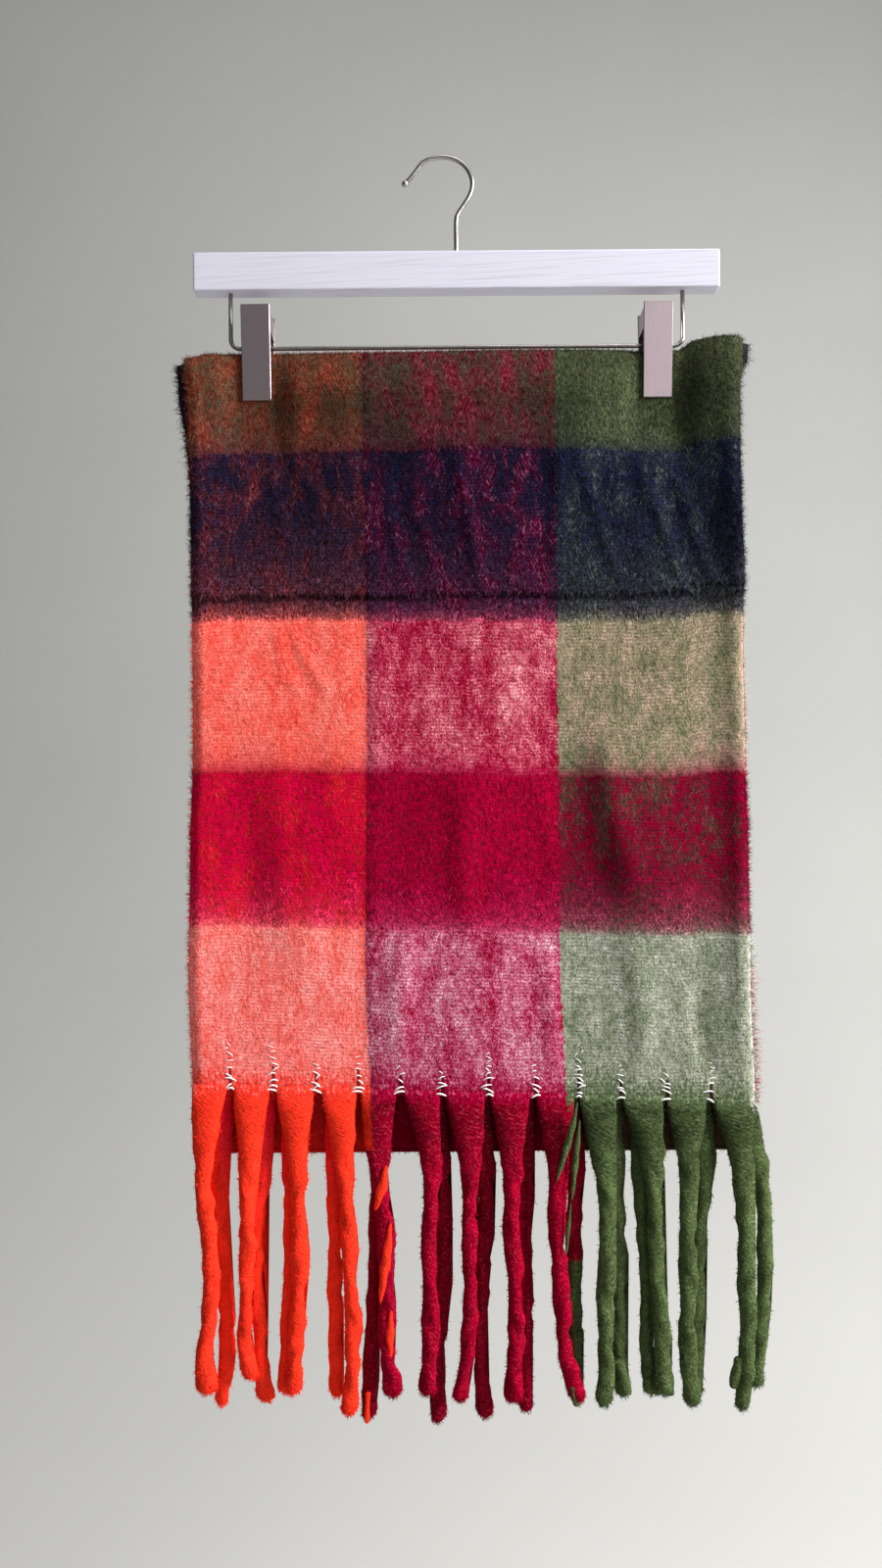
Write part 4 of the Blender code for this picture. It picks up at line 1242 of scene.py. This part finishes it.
def strands(name, lines, radii, sides, material):
    """Closed tapering strands as one mesh: lines is strand x point x xyz, radii strand x ring.

    Also gives the layout of one strand: for each vertex its share round it and its share along it.
    """
    count, points = lines.shape[:2]
    rings = points - 1
    way = np.empty_like(lines)
    way[:, 1:-1] = lines[:, 2:] - lines[:, :-2]
    way[:, 0] = lines[:, 1] - lines[:, 0]
    way[:, -1] = lines[:, -1] - lines[:, -2]
    way = unit(way)
    first = unit(np.cross(way[:, :rings], np.array([0.32, 0.91, 0.26])))
    second = np.cross(way[:, :rings], first)
    angle = 2 * math.pi * np.arange(sides) / sides
    ring = first[:, :, None] * np.cos(angle)[:, None] + second[:, :, None] * np.sin(angle)[:, None]
    body = lines[:, :rings, None] + ring * radii[:, :, None, None]
    verts = np.concatenate([body.reshape(count, rings * sides, 3), lines[:, -1:]], axis=1)
    per = rings * sides + 1
    faces = [(0, corner + 1, corner) for corner in range(1, sides - 1)]
    for low in range(rings):
        for side in range(sides):
            a, b = low * sides + side, low * sides + (side + 1) % sides
            if low < rings - 1:
                faces += [(a, b, b + sides), (a, b + sides, a + sides)]
            else:
                faces.append((a, b, per - 1))
    faces = np.array(faces)
    index = (faces[None] + per * np.arange(count)[:, None, None]).reshape(-1).astype(np.int32)
    mesh = bpy.data.meshes.new(name)
    mesh.vertices.add(count * per)
    mesh.vertices.foreach_set("co", verts.astype(np.float32).ravel())
    mesh.loops.add(len(index))
    mesh.loops.foreach_set("vertex_index", index)
    mesh.polygons.add(len(index) // 3)
    mesh.polygons.foreach_set("loop_start", np.arange(0, len(index), 3, dtype=np.int32))
    mesh.update(calc_edges=True)
    corner = np.append(np.tile(np.arange(sides) / sides, rings), 0.5)
    steps = np.append(np.repeat(np.arange(rings) / rings, sides), 1.0)
    return smooth(piece_from(mesh, name, material)), np.stack([corner, steps], axis=-1)


def mark_strands(piece, layout, weave, spots, chance):
    """Each strand's place in the check, its own random brightness for the painted highlights with the way
    along it, and its bake spot.
    """
    count, per = len(weave), len(layout)
    own = np.repeat(chance.uniform(0.0, 1.0, count), per)
    set_map(piece.data, "weave", np.repeat(weave, per, axis=0))
    set_map(piece.data, "strand", np.stack([own, np.tile(layout[:, 1], count)], axis=-1))
    spread_out = np.tile((layout - 0.5) * BAKE_SPOT, (count, 1))
    set_map(piece.data, "OFBake", np.repeat(spots, per, axis=0) + spread_out)


def bake_spots(shares, along):
    """The middles of the strands' bake spots, from their roots' places in the cloth."""
    return np.stack([0.02 + 0.96 * shares, 0.02 + 0.96 * along / LENGTH], axis=-1)


def nap(name, start, end, counts, seed, material):
    """Fibres of the outer stretch, brushed up: counts of short straight ones and of long bent ones."""
    chance = np.random.default_rng(seed)
    pieces = []
    for label, count, bends in (("short", counts[0], 1), ("long", counts[1], 2)):
        shares = chance.uniform(0.004, 0.996, count)
        along = chance.uniform(start, end, count)
        long = chance.uniform(*NAP_LENGTHS, (count, 1)) * (1.0 if bends == 1 else 1.7)
        out = facing(shares, along)
        roots = outer_point(shares, along) + out * (CLOTH / 2 - 0.0002)
        up = np.sign(CREST - along)[:, None] * np.array([0.0, 0.0, 1.0])
        up = unit(up - out * np.sum(up * out, axis=-1, keepdims=True))
        aside = np.cross(out, up)
        lean = chance.normal(0.0, 0.50, (count, 1))
        stand = chance.uniform(0.12, 0.55, (count, 1))
        points = [roots]
        for bend in range(bends):
            sideways = lean + bend * chance.normal(0.0, 0.5, (count, 1))
            way = unit(out * stand / (1 + bend) + up + aside * sideways)
            points.append(points[-1] + way * long / bends)
        radii = chance.uniform(*NAP_RADII, (count, 1)) * FIBRE_TAPER[:bends]
        piece, layout = strands(f"{name}_{label}", np.stack(points, axis=1), radii, 3, material)
        lifted = np.where(chance.uniform(0, 1, count) < 0.45, chance.gamma(1.2, 0.0075, count), 0.0)
        weave = np.stack([shares * WIDTH, np.maximum(along - lifted, 0.001)], axis=-1)
        mark_strands(piece, layout, weave, bake_spots(shares, along), chance)
        pieces.append(piece)
    return pieces


def curling(name, roots, first, waver, lengths, chance, material):
    """Fibres that start out along first and bend once; lengths holds the shortest, the reach, the longest."""
    count = len(roots)
    shortest, reach, longest = lengths
    second = unit(first + chance.normal(0.0, waver, (count, 3)))
    half = np.minimum(shortest + chance.gamma(1.5, reach, count), longest)[:, None] * 0.5
    one = roots + first * half
    radii = np.tile(CURL_RADII, (count, 1)) * chance.uniform(0.5, 1.3, (count, 1))
    return strands(name, np.stack([roots, one, one + second * half], axis=1), radii, 3, material)


def edge_fluff(name, surface, start, end, count, reach, sides, seed, material):
    """Fine curling fibres that stand out from the selvedges of a stretch; sides holds 0, 1 or both."""
    chance = np.random.default_rng(seed)
    side = chance.choice(sides, count)
    shares = side.astype(float)
    along = chance.uniform(start, end, count)
    outward = np.where(side == 1, 1.0, -1.0)[:, None] * np.array([1.0, 0.0, 0.0])
    roots = surface(shares, along) + outward * -0.0006
    roots[:, 1] += chance.uniform(-0.0011, 0.0011, count)
    tilt = chance.normal(0.0, 0.60, (count, 3)) * np.array([0.0, 0.8, 1.0])
    lengths = (0.0010, reach, reach * 5.0)
    piece, layout = curling(name, roots, unit(outward + tilt), 0.70, lengths, chance, material)
    inset = np.where(side == 1, WIDTH - EDGE_INSET, EDGE_INSET)
    mark_strands(piece, layout, np.stack([inset, along], axis=-1), bake_spots(shares, along), chance)
    return piece


def turn_fluff(name, start, end, count, seed, material):
    """Fibres that stand straight off the outer stretch where it turns over."""
    chance = np.random.default_rng(seed)
    shares = chance.uniform(0.0, 1.0, count)
    along = chance.uniform(start, end, count)
    out = facing(shares, along)
    first = unit(out + chance.normal(0.0, 0.75, (count, 3)))
    roots = outer_point(shares, along) + out * (CLOTH / 2 - 0.0003)
    piece, layout = curling(name, roots, first, 0.60, (0.0008, 0.0008, 0.0050), chance, material)
    weave = np.stack([shares * WIDTH, along], axis=-1)
    mark_strands(piece, layout, weave, bake_spots(shares, along), chance)
    return piece


# ---------------------------------------------------------------- fringes


def dye_colour(dye):
    return (np.array(YARNS[dye]) / 255.0) ** DISPLAY_GAMMA


def tassel_point(row, root_z, layer, rope_y, seed, share, angle):
    """A point of a tassel's skin: a flat root that draws in to a plush, loosely twisted rope."""
    bends = [(getattr(row, f"x{round(-z * 1000)}"), z) for z in TASSEL_HEIGHTS]
    points = [(row.root, root_z + 0.0030), (row.root, root_z), *bends, (row.tip_x, row.tip_z)]
    at, x, z = along_line(points, share)
    drawn = ease(share / DRAWN_SHARE) ** 0.80
    plump = ease(share / PLUMP_SHARE)
    chance = np.random.default_rng(seed)
    knots = chance.uniform(-1.0, 1.0, 30)
    beads = chance.uniform(-1.0, 1.0, (120, 24))
    lumps = look_up_even(share * 26.0, knots)
    slack = look_up_even(share * 9.0, knots[::-1])
    bead = beads[(share * 110).astype(int), (angle / 6.2832 * 18).astype(int) % 18]
    turn = 2 * math.pi * at / ROPE_PITCH * chance.choice((-1.0, 1.0)) + chance.uniform(0.0, 6.3)
    plies = 0.26 * np.abs(np.cos(angle - turn)) - 0.15 + 0.05 * np.cos(3.0 * (angle - 1.7 * turn))
    lobes = 1.0 + drawn * plies
    full = lobes * (1.0 + drawn * (0.085 * lumps + 0.120 * slack + 0.045 * bead))
    rounded = np.sqrt(np.clip((1.0 - share) / 0.024, 0.0, 1.0))
    full = full * (1.0 + 0.12 * ease((share - 0.90) / 0.06)) * rounded
    wide = mix(row.width * ROOT_SPREAD, row.rope, drawn) / 2
    thick = mix(ROOT_WALL, row.rope * 0.92, plump) / 2
    stack_y = sway(x, np.maximum(z, root_z)) + layer * half_depth(x, z)
    stack_y = stack_y - (thick - ROOT_WALL / 2) * (1.0 - drawn) * (0.7 if layer < -0.9 else 0.3)
    y = mix(stack_y, rope_y, drawn) + drawn * 0.0007 * slack
    round_off = np.clip(share / 0.020, 0.0, 1.0)
    side = x + wide * full * np.cos(angle) * mix(0.97, 1.0, round_off) + drawn * 0.0009 * lumps
    squared = np.sign(np.sin(angle)) * np.abs(np.sin(angle)) ** mix(0.45, 1.0, plump)
    y = y + thick * full * squared * mix(0.80, 1.0, round_off)
    return np.stack([side, y, z + 0.0 * angle], axis=-1)


def look_up_even(at, values):
    """Values at whole numbers, read between them with a soft curve."""
    low = np.clip(np.floor(at).astype(int), 0, len(values) - 2)
    return mix(values[low], values[low + 1], ease(at - low))


def shaded_tassel_dye(row, front, share, angle):
    """Linear colour of a tassel's yarn at a place on its skin, with painted shade towards the roots and
    painted light and shade down the second tassels.
    """
    first = "crimson" if row.dye == "mixed" else row.dye
    colour = np.empty((*np.broadcast(share, angle).shape, 3))
    colour[...] = dye_colour(first)
    share = np.broadcast_to(share, colour.shape[:-1])
    if row.dye == "crimson" and row.root < -0.04 and front:
        colour[(np.cos(angle) < -0.55) & (share < 0.20)] = dye_colour("orange")
    if row.dye == "mixed":
        colour[share > 0.55] = dye_colour("green")
    # Painted shade: the front tassels grow darker towards their roots, where they lie in shadow
    if front:
        return colour * mix(1.0, FRONT_ROOT_SHADE[first], 1.0 - ease((share - 0.08) / 0.26))[..., None]
    # Painted shade on the second tassels: a crimson tint and darker roots, with painted light and shade
    # towards their tips
    if first == "orange":
        colour = colour * mix(np.ones(3), np.array(ORANGE_ROOT_SHADE), 1.0 - ease(share / 0.50)[..., None])
    return colour * mix(SECOND_TIP_LIGHT_AND_SHADE[first], SECOND_ROOT_SHADE[first], 1.0 - ease(share / 0.30)[..., None])


def rope_mesh(name, grid, points, maps, colours, material):
    """A closed rope from a grid whose first and last columns meet."""
    shape, _ = grid_shape(*grid)
    place_verts(shape, points)
    rope = piece_from(shape, name, material)
    for label, places in maps.items():
        set_map(rope.data, label, places)
    set_colour(rope.data, "dye", colours)
    shape = bmesh.new()
    shape.from_mesh(rope.data)
    bmesh.ops.remove_doubles(shape, verts=shape.verts, dist=0.00002)
    bmesh.ops.holes_fill(shape, edges=[edge for edge in shape.edges if edge.is_boundary], sides=0)
    bmesh.ops.recalc_face_normals(shape, faces=shape.faces)
    shape.to_mesh(rope.data)
    shape.free()
    return smooth(rope)


def rope_grid(grid):
    """Share down a rope, angle round it and share round it for each vertex of its grid."""
    shape, spots = grid_shape(*grid)
    shape.free()
    return 1.0 - spots[:, 1], -2 * math.pi * spots[:, 0], spots[:, 0]


def tassel_fluff(skin_at, shaded_dye_at, count, bends, chance):
    """Lines, radii and colours of the fibres that stand off one rope."""
    share = chance.uniform(0.015, 0.998, count)
    tips = chance.uniform(0, 1, count) < 0.12
    share[tips] = chance.uniform(0.95, 0.999, np.count_nonzero(tips))
    angle = chance.uniform(0.0, 2 * math.pi, count)
    skin = skin_at(share, angle)
    out = unit(skin - (skin_at(share, angle + math.pi) + skin) / 2 + chance.normal(0.0, 0.0006, (count, 3)))
    sag = np.where(share > 0.95, 1.1, 0.35)[:, None] * np.array([0.0, 0.0, -1.0])
    root = skin - out * 0.0004
    long = chance.uniform(*FLUFF_LENGTHS, (count, 1)) * (0.85 if bends == 1 else 1.25)
    points = [root]
    for bend, stand in zip(range(bends), (0.9, 0.35)):
        way = unit(out * stand + sag * (1 + bend) + chance.normal(0.0, 0.55, (count, 3)))
        points.append(points[-1] + way * long / bends)
    radii = chance.uniform(*FLUFF_RADII, (count, 1)) * FIBRE_TAPER[:bends]
    return np.stack(points, axis=1), radii, shaded_dye_at(share, angle), np.stack([angle / 6.3, share], axis=-1)


def fringe(name, rows, edge_z, layer, rope_y, front, materials):
    """Thirteen plush tassels with their forked ends and loose yarns, and the fluff on them."""
    ropes, fluff = [], {1: [], 2: []}
    label = "front" if front else "second"
    grid = ROPE_GRIDS[label]
    share, angle, round_it = rope_grid(grid)
    for index, row in enumerate(rows):
        seed = (100 if front else 200) + index
        root_z = edge_z(row.root)
        long = root_z - row.tip_z

        def skin_at(share, angle):
            return tassel_point(row, root_z, layer, rope_y, seed, share, angle)

        def shaded_dye_at(share, angle):
            return shaded_tassel_dye(row, front, share, angle)

        skin = skin_at(share, angle)
        maps = {"yarn": np.stack([round_it + index * 1.7, share * long + index * 0.37], axis=-1),
                "weave": np.stack([front_share(skin[:, 0]) * WIDTH, skin[:, 2] - root_z], axis=-1)}
        # The dye attribute of the ropes and their fibres carries the tassels' painted shade and light
        ropes.append(rope_mesh(f"rope_{index}", grid, skin, maps, shaded_dye_at(share, angle), materials[0]))
        chance = np.random.default_rng(seed + 500)
        for bends, count in enumerate(FLUFF_COUNTS[label], start=1):
            lines, radii, dyes, place = tassel_fluff(skin_at, shaded_dye_at, count, bends, chance)
            place = np.stack([(index + 0.1 + 0.8 * place[:, 0]) / 13.0, 0.02 + 0.96 * place[:, 1]], axis=-1)
            fluff[bends].append((lines, radii, dyes * chance.uniform(0.75, 1.3, (count, 1)), place))
    for index, row in enumerate(LOOSE_YARNS if front else ()):
        ropes.append(loose_yarn(f"loose_{index}", row, rope_y, materials[0]))
    pieces = [join(name, ropes)]
    for bends, parts in fluff.items():
        lines, radii, dyes, place = (np.concatenate(column) for column in zip(*parts))
        piece, layout = strands(f"{name}_fluff_{bends}", lines, radii, 3, materials[1])
        set_colour(piece.data, "dye", np.repeat(dyes, len(layout), axis=0))
        mark_strands(piece, layout, place, place, np.random.default_rng(7))
        pieces.append(piece)
    return pieces


def loose_yarn(name, row, rope_y, material):
    """One yarn or forked end that lies over or beside the tassels."""
    grid = ROPE_GRIDS["loose"]
    share, angle, round_it = rope_grid(grid)
    at, x, z = along_line([(row.x1, row.z1), (row.x2, row.z2), (row.x3, row.z3)], share)
    taper = WOUND_TAPER if row.y < OVER_ROPE_Y else FORK_TAPER
    full = np.sqrt(np.clip(share / taper, 0.0, 1.0) * np.clip((1.0 - share) / taper, 0.0, 1.0))
    full = full * (1.0 + 0.12 * np.cos(2.0 * angle - at / 0.0025)) * row.width / 2
    points = np.stack([x + full * np.cos(angle), rope_y + row.y + full * 0.8 * np.sin(angle), z], axis=-1)
    colours = np.tile(dye_colour(row.dye), (len(share), 1))
    maps = {"yarn": np.stack([round_it * 0.5, at], axis=-1),
            "weave": np.tile((WIDTH / 2, -0.1), (len(share), 1))}
    return rope_mesh(name, grid, points, maps, colours, material)


def loops(material):
    """White loops of the last weft threads, like small ladders up the gaps between the tassels."""
    chance = np.random.default_rng(31)
    lines, radii = [], []
    places = np.linspace(-1.0, 1.0, 8)
    swell = LOOP_RADIUS * np.array([0.4, 0.8, 1.0, 1.0, 1.0, 0.9, 0.7])
    for gap in LOOP_GAPS:
        step = 0.0004
        top = gap.slit + chance.uniform(0.004, 0.018)
        while step < top:
            fade = (1.0 - step / (top + 0.012)) ** 1.5
            half = chance.uniform(*LOOP_HALVES) * (0.35 + 0.65 * fade)
            bow = chance.uniform(0.0008, 0.0022) * fade
            tilt = chance.uniform(-0.0019, 0.0019)
            along = step + bow * (1.0 - places ** 2) + tilt * places
            share = front_share(gap.x) + (places * half + chance.normal(0.0, 0.0009)) / WIDTH
            middle = outer_point(share, along)
            middle[:, 1] -= CLOTH / 2 + 0.0005 * (1.0 - places ** 2) - 0.0002
            lines.append(middle)
            radii.append(swell * (0.22 + 0.78 * fade))
            step += chance.uniform(*LOOP_STEPS) * (0.75 + 0.25 * fade)
    return strands("weft_loops", np.array(lines), np.array(radii), 6, material)[0]


# ---------------------------------------------------------------- hanger


def bevel_all(shape, width):
    bmesh.ops.bevel(shape, geom=list(shape.edges), offset=width, segments=3, profile=0.5,
                    affect="EDGES", material=-1, clamp_overlap=True)


def hanger_bar(material):
    shape = bmesh.new()
    bmesh.ops.create_cube(shape, size=1.0)
    bmesh.ops.scale(shape, verts=shape.verts, vec=(BAR_LENGTH, BAR_DEPTH, BAR_HEIGHT))
    bmesh.ops.translate(shape, verts=shape.verts, vec=(BAR_CENTRE_X, 0.0, BAR_TOP_Z - BAR_HEIGHT / 2))
    bevel_all(shape, 0.0012)
    return piece_from(shape, "white_bar", material)


def wire(name, line, material):
    """A round wire along a line of points in the mid-plane."""
    data = bpy.data.curves.new(name, "CURVE")
    data.dimensions = "3D"
    data.bevel_depth = WIRE_RADIUS
    data.bevel_resolution = 4
    data.use_fill_caps = True
    spline = data.splines.new("POLY")
    spline.points.add(len(line) - 1)
    for point, (x, y, z) in zip(spline.points, line):
        point.co = (x, y, z, 1.0)
    guide = link(bpy.data.objects.new(name + "_line", data))
    mesh = bpy.data.meshes.new_from_object(guide.evaluated_get(bpy.context.evaluated_depsgraph_get()))
    bpy.data.objects.remove(guide)
    shape = bmesh.new()
    shape.from_mesh(mesh)
    bmesh.ops.remove_doubles(shape, verts=shape.verts, dist=0.00001)
    bmesh.ops.recalc_face_normals(shape, faces=shape.faces)
    return smooth(piece_from(shape, name, material))


def hanger_hook(material):
    line = through([(bend.x, 0.0, bend.z) for bend in HOOK_BENDS], 6)
    line = np.vstack([line, [(HOOK_BENDS[-1].x, 0.0, BAR_TOP_Z - HOLE_DEPTH + GAP)]])
    hook = wire("wire_hook", line, material)
    ball = bmesh.new()
    bmesh.ops.create_uvsphere(ball, u_segments=20, v_segments=14, radius=HOOK_TIP_RADIUS)
    bmesh.ops.translate(ball, verts=ball.verts, vec=line[0])
    return join("wire_hook", [hook, smooth(piece_from(ball, "hook_ball", material))])


def hanger_rod(material):
    reach = BAR_LENGTH / 2 - ROD_END_INSET
    top = BAR_TOP_Z - BAR_HEIGHT + HOLE_DEPTH - GAP
    bend_z = ROD_Z + ROD_BEND_RADIUS
    line = []
    for x, inward in ((BAR_CENTRE_X - reach, 1), (BAR_CENTRE_X + reach, -1)):
        leg = [(x, 0.0, top)]
        for step in range(13):
            turn = math.pi / 2 * step / 12
            leg.append((x + inward * ROD_BEND_RADIUS * (1 - math.cos(turn)), 0.0,
                        bend_z - ROD_BEND_RADIUS * math.sin(turn)))
        line += leg if inward == 1 else leg[::-1]
    return wire("wire_rod", line, material)


def clip_plate(side, face, material):
    """A flat pressed plate, leaning out at its top, with a thin bright edge all round."""
    shape = bmesh.new()
    bmesh.ops.create_cube(shape, size=1.0)
    bmesh.ops.scale(shape, verts=shape.verts, vec=(CLIP_WIDTH, CLIP_PLATE, CLIP_LENGTH))
    bevel_all(shape, 0.0005)
    lean = math.atan(JAW_SLOPE)
    half = CLIP_LENGTH / 2
    middle_z = JAW_TIP_Z + half * math.cos(lean)
    middle_y = jaw_face(middle_z) + CLIP_PLATE / 2 / math.cos(lean)
    angle = -face * lean
    for vert in shape.verts:
        x, y, z = vert.co
        vert.co = (x + CLIP_X[side], y * math.cos(angle) - z * math.sin(angle) + face * middle_y,
                   y * math.sin(angle) + z * math.cos(angle) + middle_z)
    return piece_from(shape, f"plate_{side}_{'front' if face < 0 else 'back'}", material)


# ---------------------------------------------------------------- the whole


def main():
    camera()
    backdrop()
    light()
    check = check_group()
    cloth_skin = brushed_cloth(check)
    nap_skin = brushed_nap(check)

    outer = keep(outer_cloth(cloth_skin), "brushed_cloth", "scarf_outer_turn")
    inner = keep(inner_cloth(cloth_skin), "brushed_cloth", "scarf_inner_turn")
    naps = nap("front_nap", 0.002, CREST, (25000, 8000), 11, nap_skin)
    naps += nap("back_nap", CREST, BACK_END, (8000, 3000), 21, nap_skin)
    naps += [
        edge_fluff("front_edge_fluff", outer_point, 0.0, CREST, 10500, 0.0013, (0, 1), 41, nap_skin),
        edge_fluff("back_edge_fluff", outer_point, CREST, BACK_END, 3000, 0.0016, (0, 1), 43, nap_skin),
        turn_fluff("top_fluff", CREST - 0.007, CREST + 0.005, 4600, 51, nap_skin),
        turn_fluff("bottom_fluff", BACK_END - 0.002, THIRD_START, 2800, 52, nap_skin),
    ]
    top = (SECOND_START - 0.060, SECOND_START + 0.120)
    inner_naps = [
        edge_fluff("inner_edge_fluff", inner_point, THIRD_START, LENGTH, 2200, 0.0012, (0, 1), 42, nap_skin),
        edge_fluff("inner_top_fluff", inner_point, *top, 1400, 0.0018, (0, 1), 44, nap_skin),
        edge_fluff("pink_fluff", inner_point, LENGTH - 0.105, LENGTH, 900, 0.0024, (1,), 45, nap_skin),
    ]
    for piece in naps + inner_naps:
        keep(piece, "brushed_cloth")

    yarns = (fringe_yarn(check), fringe_fluff())
    front, *front_fluff = fringe(
        "front_tassels", FRONT_TASSELS, front_edge_z, -1.0, FRONT_TASSEL_Y, True, yarns)
    second, *second_fluff = fringe(
        "second_tassels", SECOND_TASSELS, second_edge_z, -1 / 3, SECOND_TASSEL_Y, False, yarns)
    keep(front, "fringe_yarn", "fringe_front")
    keep(second, "fringe_yarn", "fringe_second")
    white_loops = loops(loop_yarn())
    for piece in (*front_fluff, *second_fluff, white_loops):
        keep(piece, "fringe_yarn")

    steel = metal(
        "steel_wire", (0.46, 0.43, 0.41), (0.26, 0.24, 0.23), (300.0, 300.0, 60.0), 0.0001, 0.22)
    plate = metal(
        "clip_plate", (0.43, 0.355, 0.375), (0.39, 0.315, 0.335), (700.0, 700.0, 40.0), 0.00002, 0.06)
    keep(hanger_bar(painted_wood()), "painted_wood", "hanger_bar")
    keep(hanger_hook(steel), "steel_wire", "hanger_hook")
    keep(hanger_rod(steel), "steel_wire", "hanger_rod")
    for side in CLIP_X:
        for face, label in ((-1, "front"), (1, "back")):
            keep(clip_plate(side, face, plate), "clip_plate", f"clip_{side}_{label}")
        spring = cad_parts[f"clip_{side}_spring"]
        for slot in spring.material_slots:
            slot.material = plate

    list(front_fluff)
    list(second_fluff)


main()
